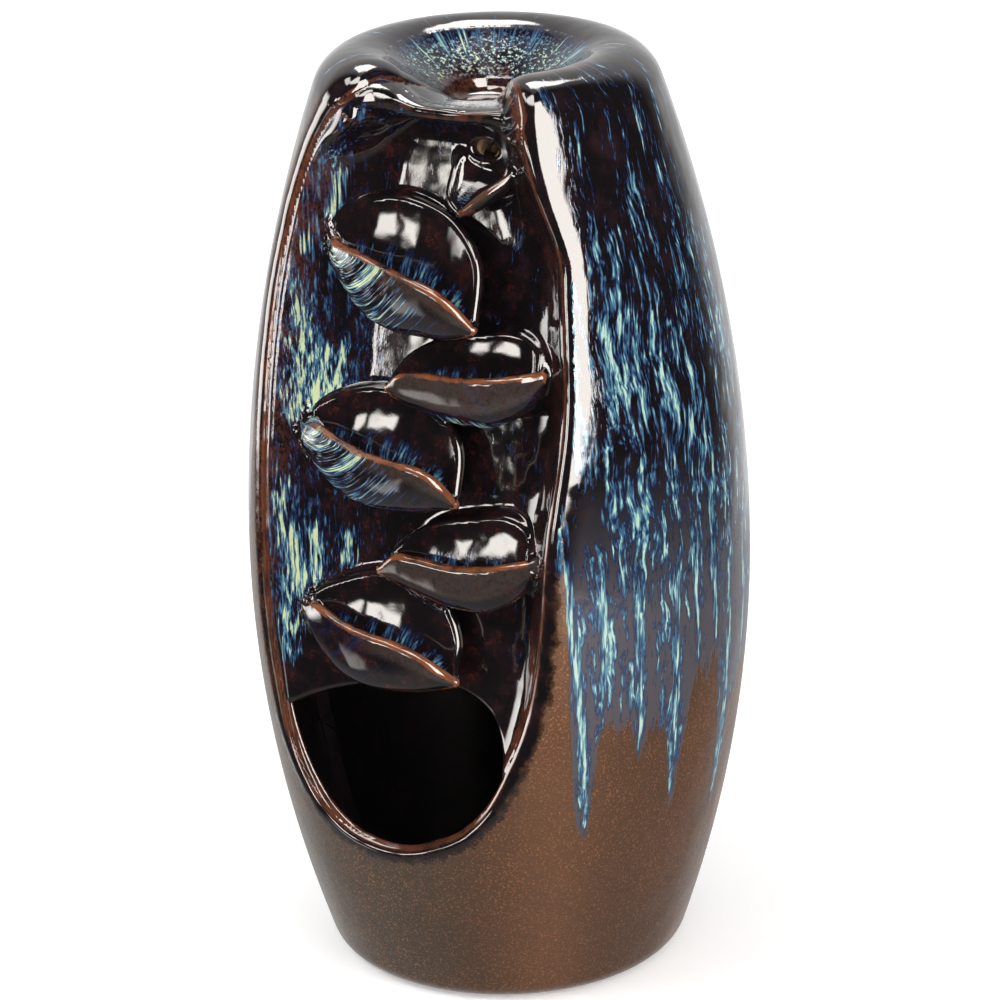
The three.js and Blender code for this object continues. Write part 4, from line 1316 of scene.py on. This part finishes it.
class StageSettings(bpy.types.PropertyGroup):
    """The camera, the lights and the floor."""

    lens: FloatProperty(name="Lens", description="Focal length of the camera", default=146.6, min=1)
    camera_place: FloatVectorProperty(
        name="Camera", description="Where the camera stands", default=(0.4598, -0.8127, 0.4734),
        subtype="TRANSLATION", unit="LENGTH")
    camera_aim: length_setting("Aim", "Height that the camera looks at", 0.11543)
    camera_roll: FloatProperty(
        name="Roll", description="Turn about the line of sight, in degrees", default=-1.54)
    world_light: FloatProperty(
        name="World light", description="Even light on matt surfaces", default=0.8, min=0)
    panel_light: FloatProperty(
        name="Panel light", description="Brightness of the panels in the gloss", default=21.0, min=0)
    floor: colour_setting("Floor", "Colour of the floor", 238, 238, 238)


class BURNER_OT_stage(bpy.types.Operator):
    """Sets up the camera, the studio light and the floor"""

    bl_idname = "burner.stage"
    bl_label = "Stage"

    def execute(self, context):
        setup = context.scene.burner_stage
        make_camera(setup)
        studio_world(setup)
        soft_lamp("key", (-0.9, -1.0, 1.5), 14)
        soft_lamp("fill", (1.3, -0.4, 1.0), 7)
        studio_floor(setup)
        context.scene.view_settings.view_transform = "Standard"
        return {"FINISHED"}


class BURNER_OT_vessel(bpy.types.Operator):
    """Makes the barrel with its rolled rim and the lips of its window"""

    bl_idname = "burner.vessel"
    bl_label = "Vessel"

    def execute(self, context):
        setup = context.scene.burner_clay
        clay = shaped(setup)[0]
        more = WALL - THIN_WALL
        glazed_piece(setup, 0, "vessel", lambda p: THIN_WALL + more * ease(clay.parts(p)[2], 0, 9))
        return {"FINISHED"}


class BURNER_OT_cascade_panel(bpy.types.Operator):
    """Makes the wall behind the window, with the outlet and the cave's mouth"""

    bl_idname = "burner.cascade_panel"
    bl_label = "Cascade panel"

    def execute(self, context):
        glazed_piece(context.scene.burner_clay, 1, "cascade_panel", THIN_WALL)
        return {"FINISHED"}


class BURNER_OT_cone_dish(bpy.types.Operator):
    """Makes the dish with the cone's seat, the smoke hole and the brow"""

    bl_idname = "burner.cone_dish"
    bl_label = "Cone dish"

    def execute(self, context):
        glazed_piece(context.scene.burner_clay, 2, "cone_dish", THIN_WALL)
        return {"FINISHED"}


class BURNER_OT_leaf_cups(bpy.types.Operator):
    """Makes the five leaf cups and the small spout"""

    bl_idname = "burner.leaf_cups"
    bl_label = "Leaf cups"

    def execute(self, context):
        for number, name in enumerate(LEAVES, 3):
            glazed_piece(context.scene.burner_clay, number, name, 0.66 * LEAF_WALL[name])
        return {"FINISHED"}


class BURNER_OT_base_disc(bpy.types.Operator):
    """Makes the clay disc that closes the foot"""

    bl_idname = "burner.base_disc"
    bl_label = "Base disc"

    def execute(self, context):
        claim(base_disc(context.scene.burner_clay), "bare_clay", "base_disc")
        return {"FINISHED"}


class BURNER_OT_smoke_duct(bpy.types.Operator):
    """Makes the tube that leads the smoke to its outlet"""

    bl_idname = "burner.smoke_duct"
    bl_label = "Smoke duct"

    def execute(self, context):
        claim(smoke_duct(context.scene.burner_clay), "bare_clay", "smoke_duct")
        return {"FINISHED"}


OPERATORS = (
    BURNER_OT_stage, BURNER_OT_vessel, BURNER_OT_cascade_panel, BURNER_OT_cone_dish, BURNER_OT_leaf_cups,
    BURNER_OT_base_disc, BURNER_OT_smoke_duct)


class BURNER_PT_sidebar(bpy.types.Panel):
    """The burner's settings and the steps that build it"""

    bl_label = "Backflow burner"
    bl_idname = "BURNER_PT_sidebar"
    bl_space_type = "VIEW_3D"
    bl_region_type = "UI"
    bl_category = "Burner"

    def draw(self, context):
        for settings in (context.scene.burner_clay, context.scene.burner_stage):
            box = self.layout.box()
            for name in settings.bl_rna.properties.keys():
                if name not in ("rna_type", "name"):
                    box.prop(settings, name)
        for operator in OPERATORS:
            self.layout.operator(operator.bl_idname)


CLASSES = (ClaySettings, StageSettings, *OPERATORS, BURNER_PT_sidebar)


def register():
    for item in CLASSES:
        bpy.utils.register_class(item)
    bpy.types.Scene.burner_clay = PointerProperty(type=ClaySettings)
    bpy.types.Scene.burner_stage = PointerProperty(type=StageSettings)


def unregister():
    del bpy.types.Scene.burner_stage
    del bpy.types.Scene.burner_clay
    for item in reversed(CLASSES):
        bpy.utils.unregister_class(item)


def main():
    register()
    bpy.ops.burner.stage()
    bpy.ops.burner.vessel()
    bpy.ops.burner.cascade_panel()
    bpy.ops.burner.cone_dish()
    bpy.ops.burner.leaf_cups()
    bpy.ops.burner.base_disc()
    bpy.ops.burner.smoke_duct()


if __name__ == "__main__":
    main()
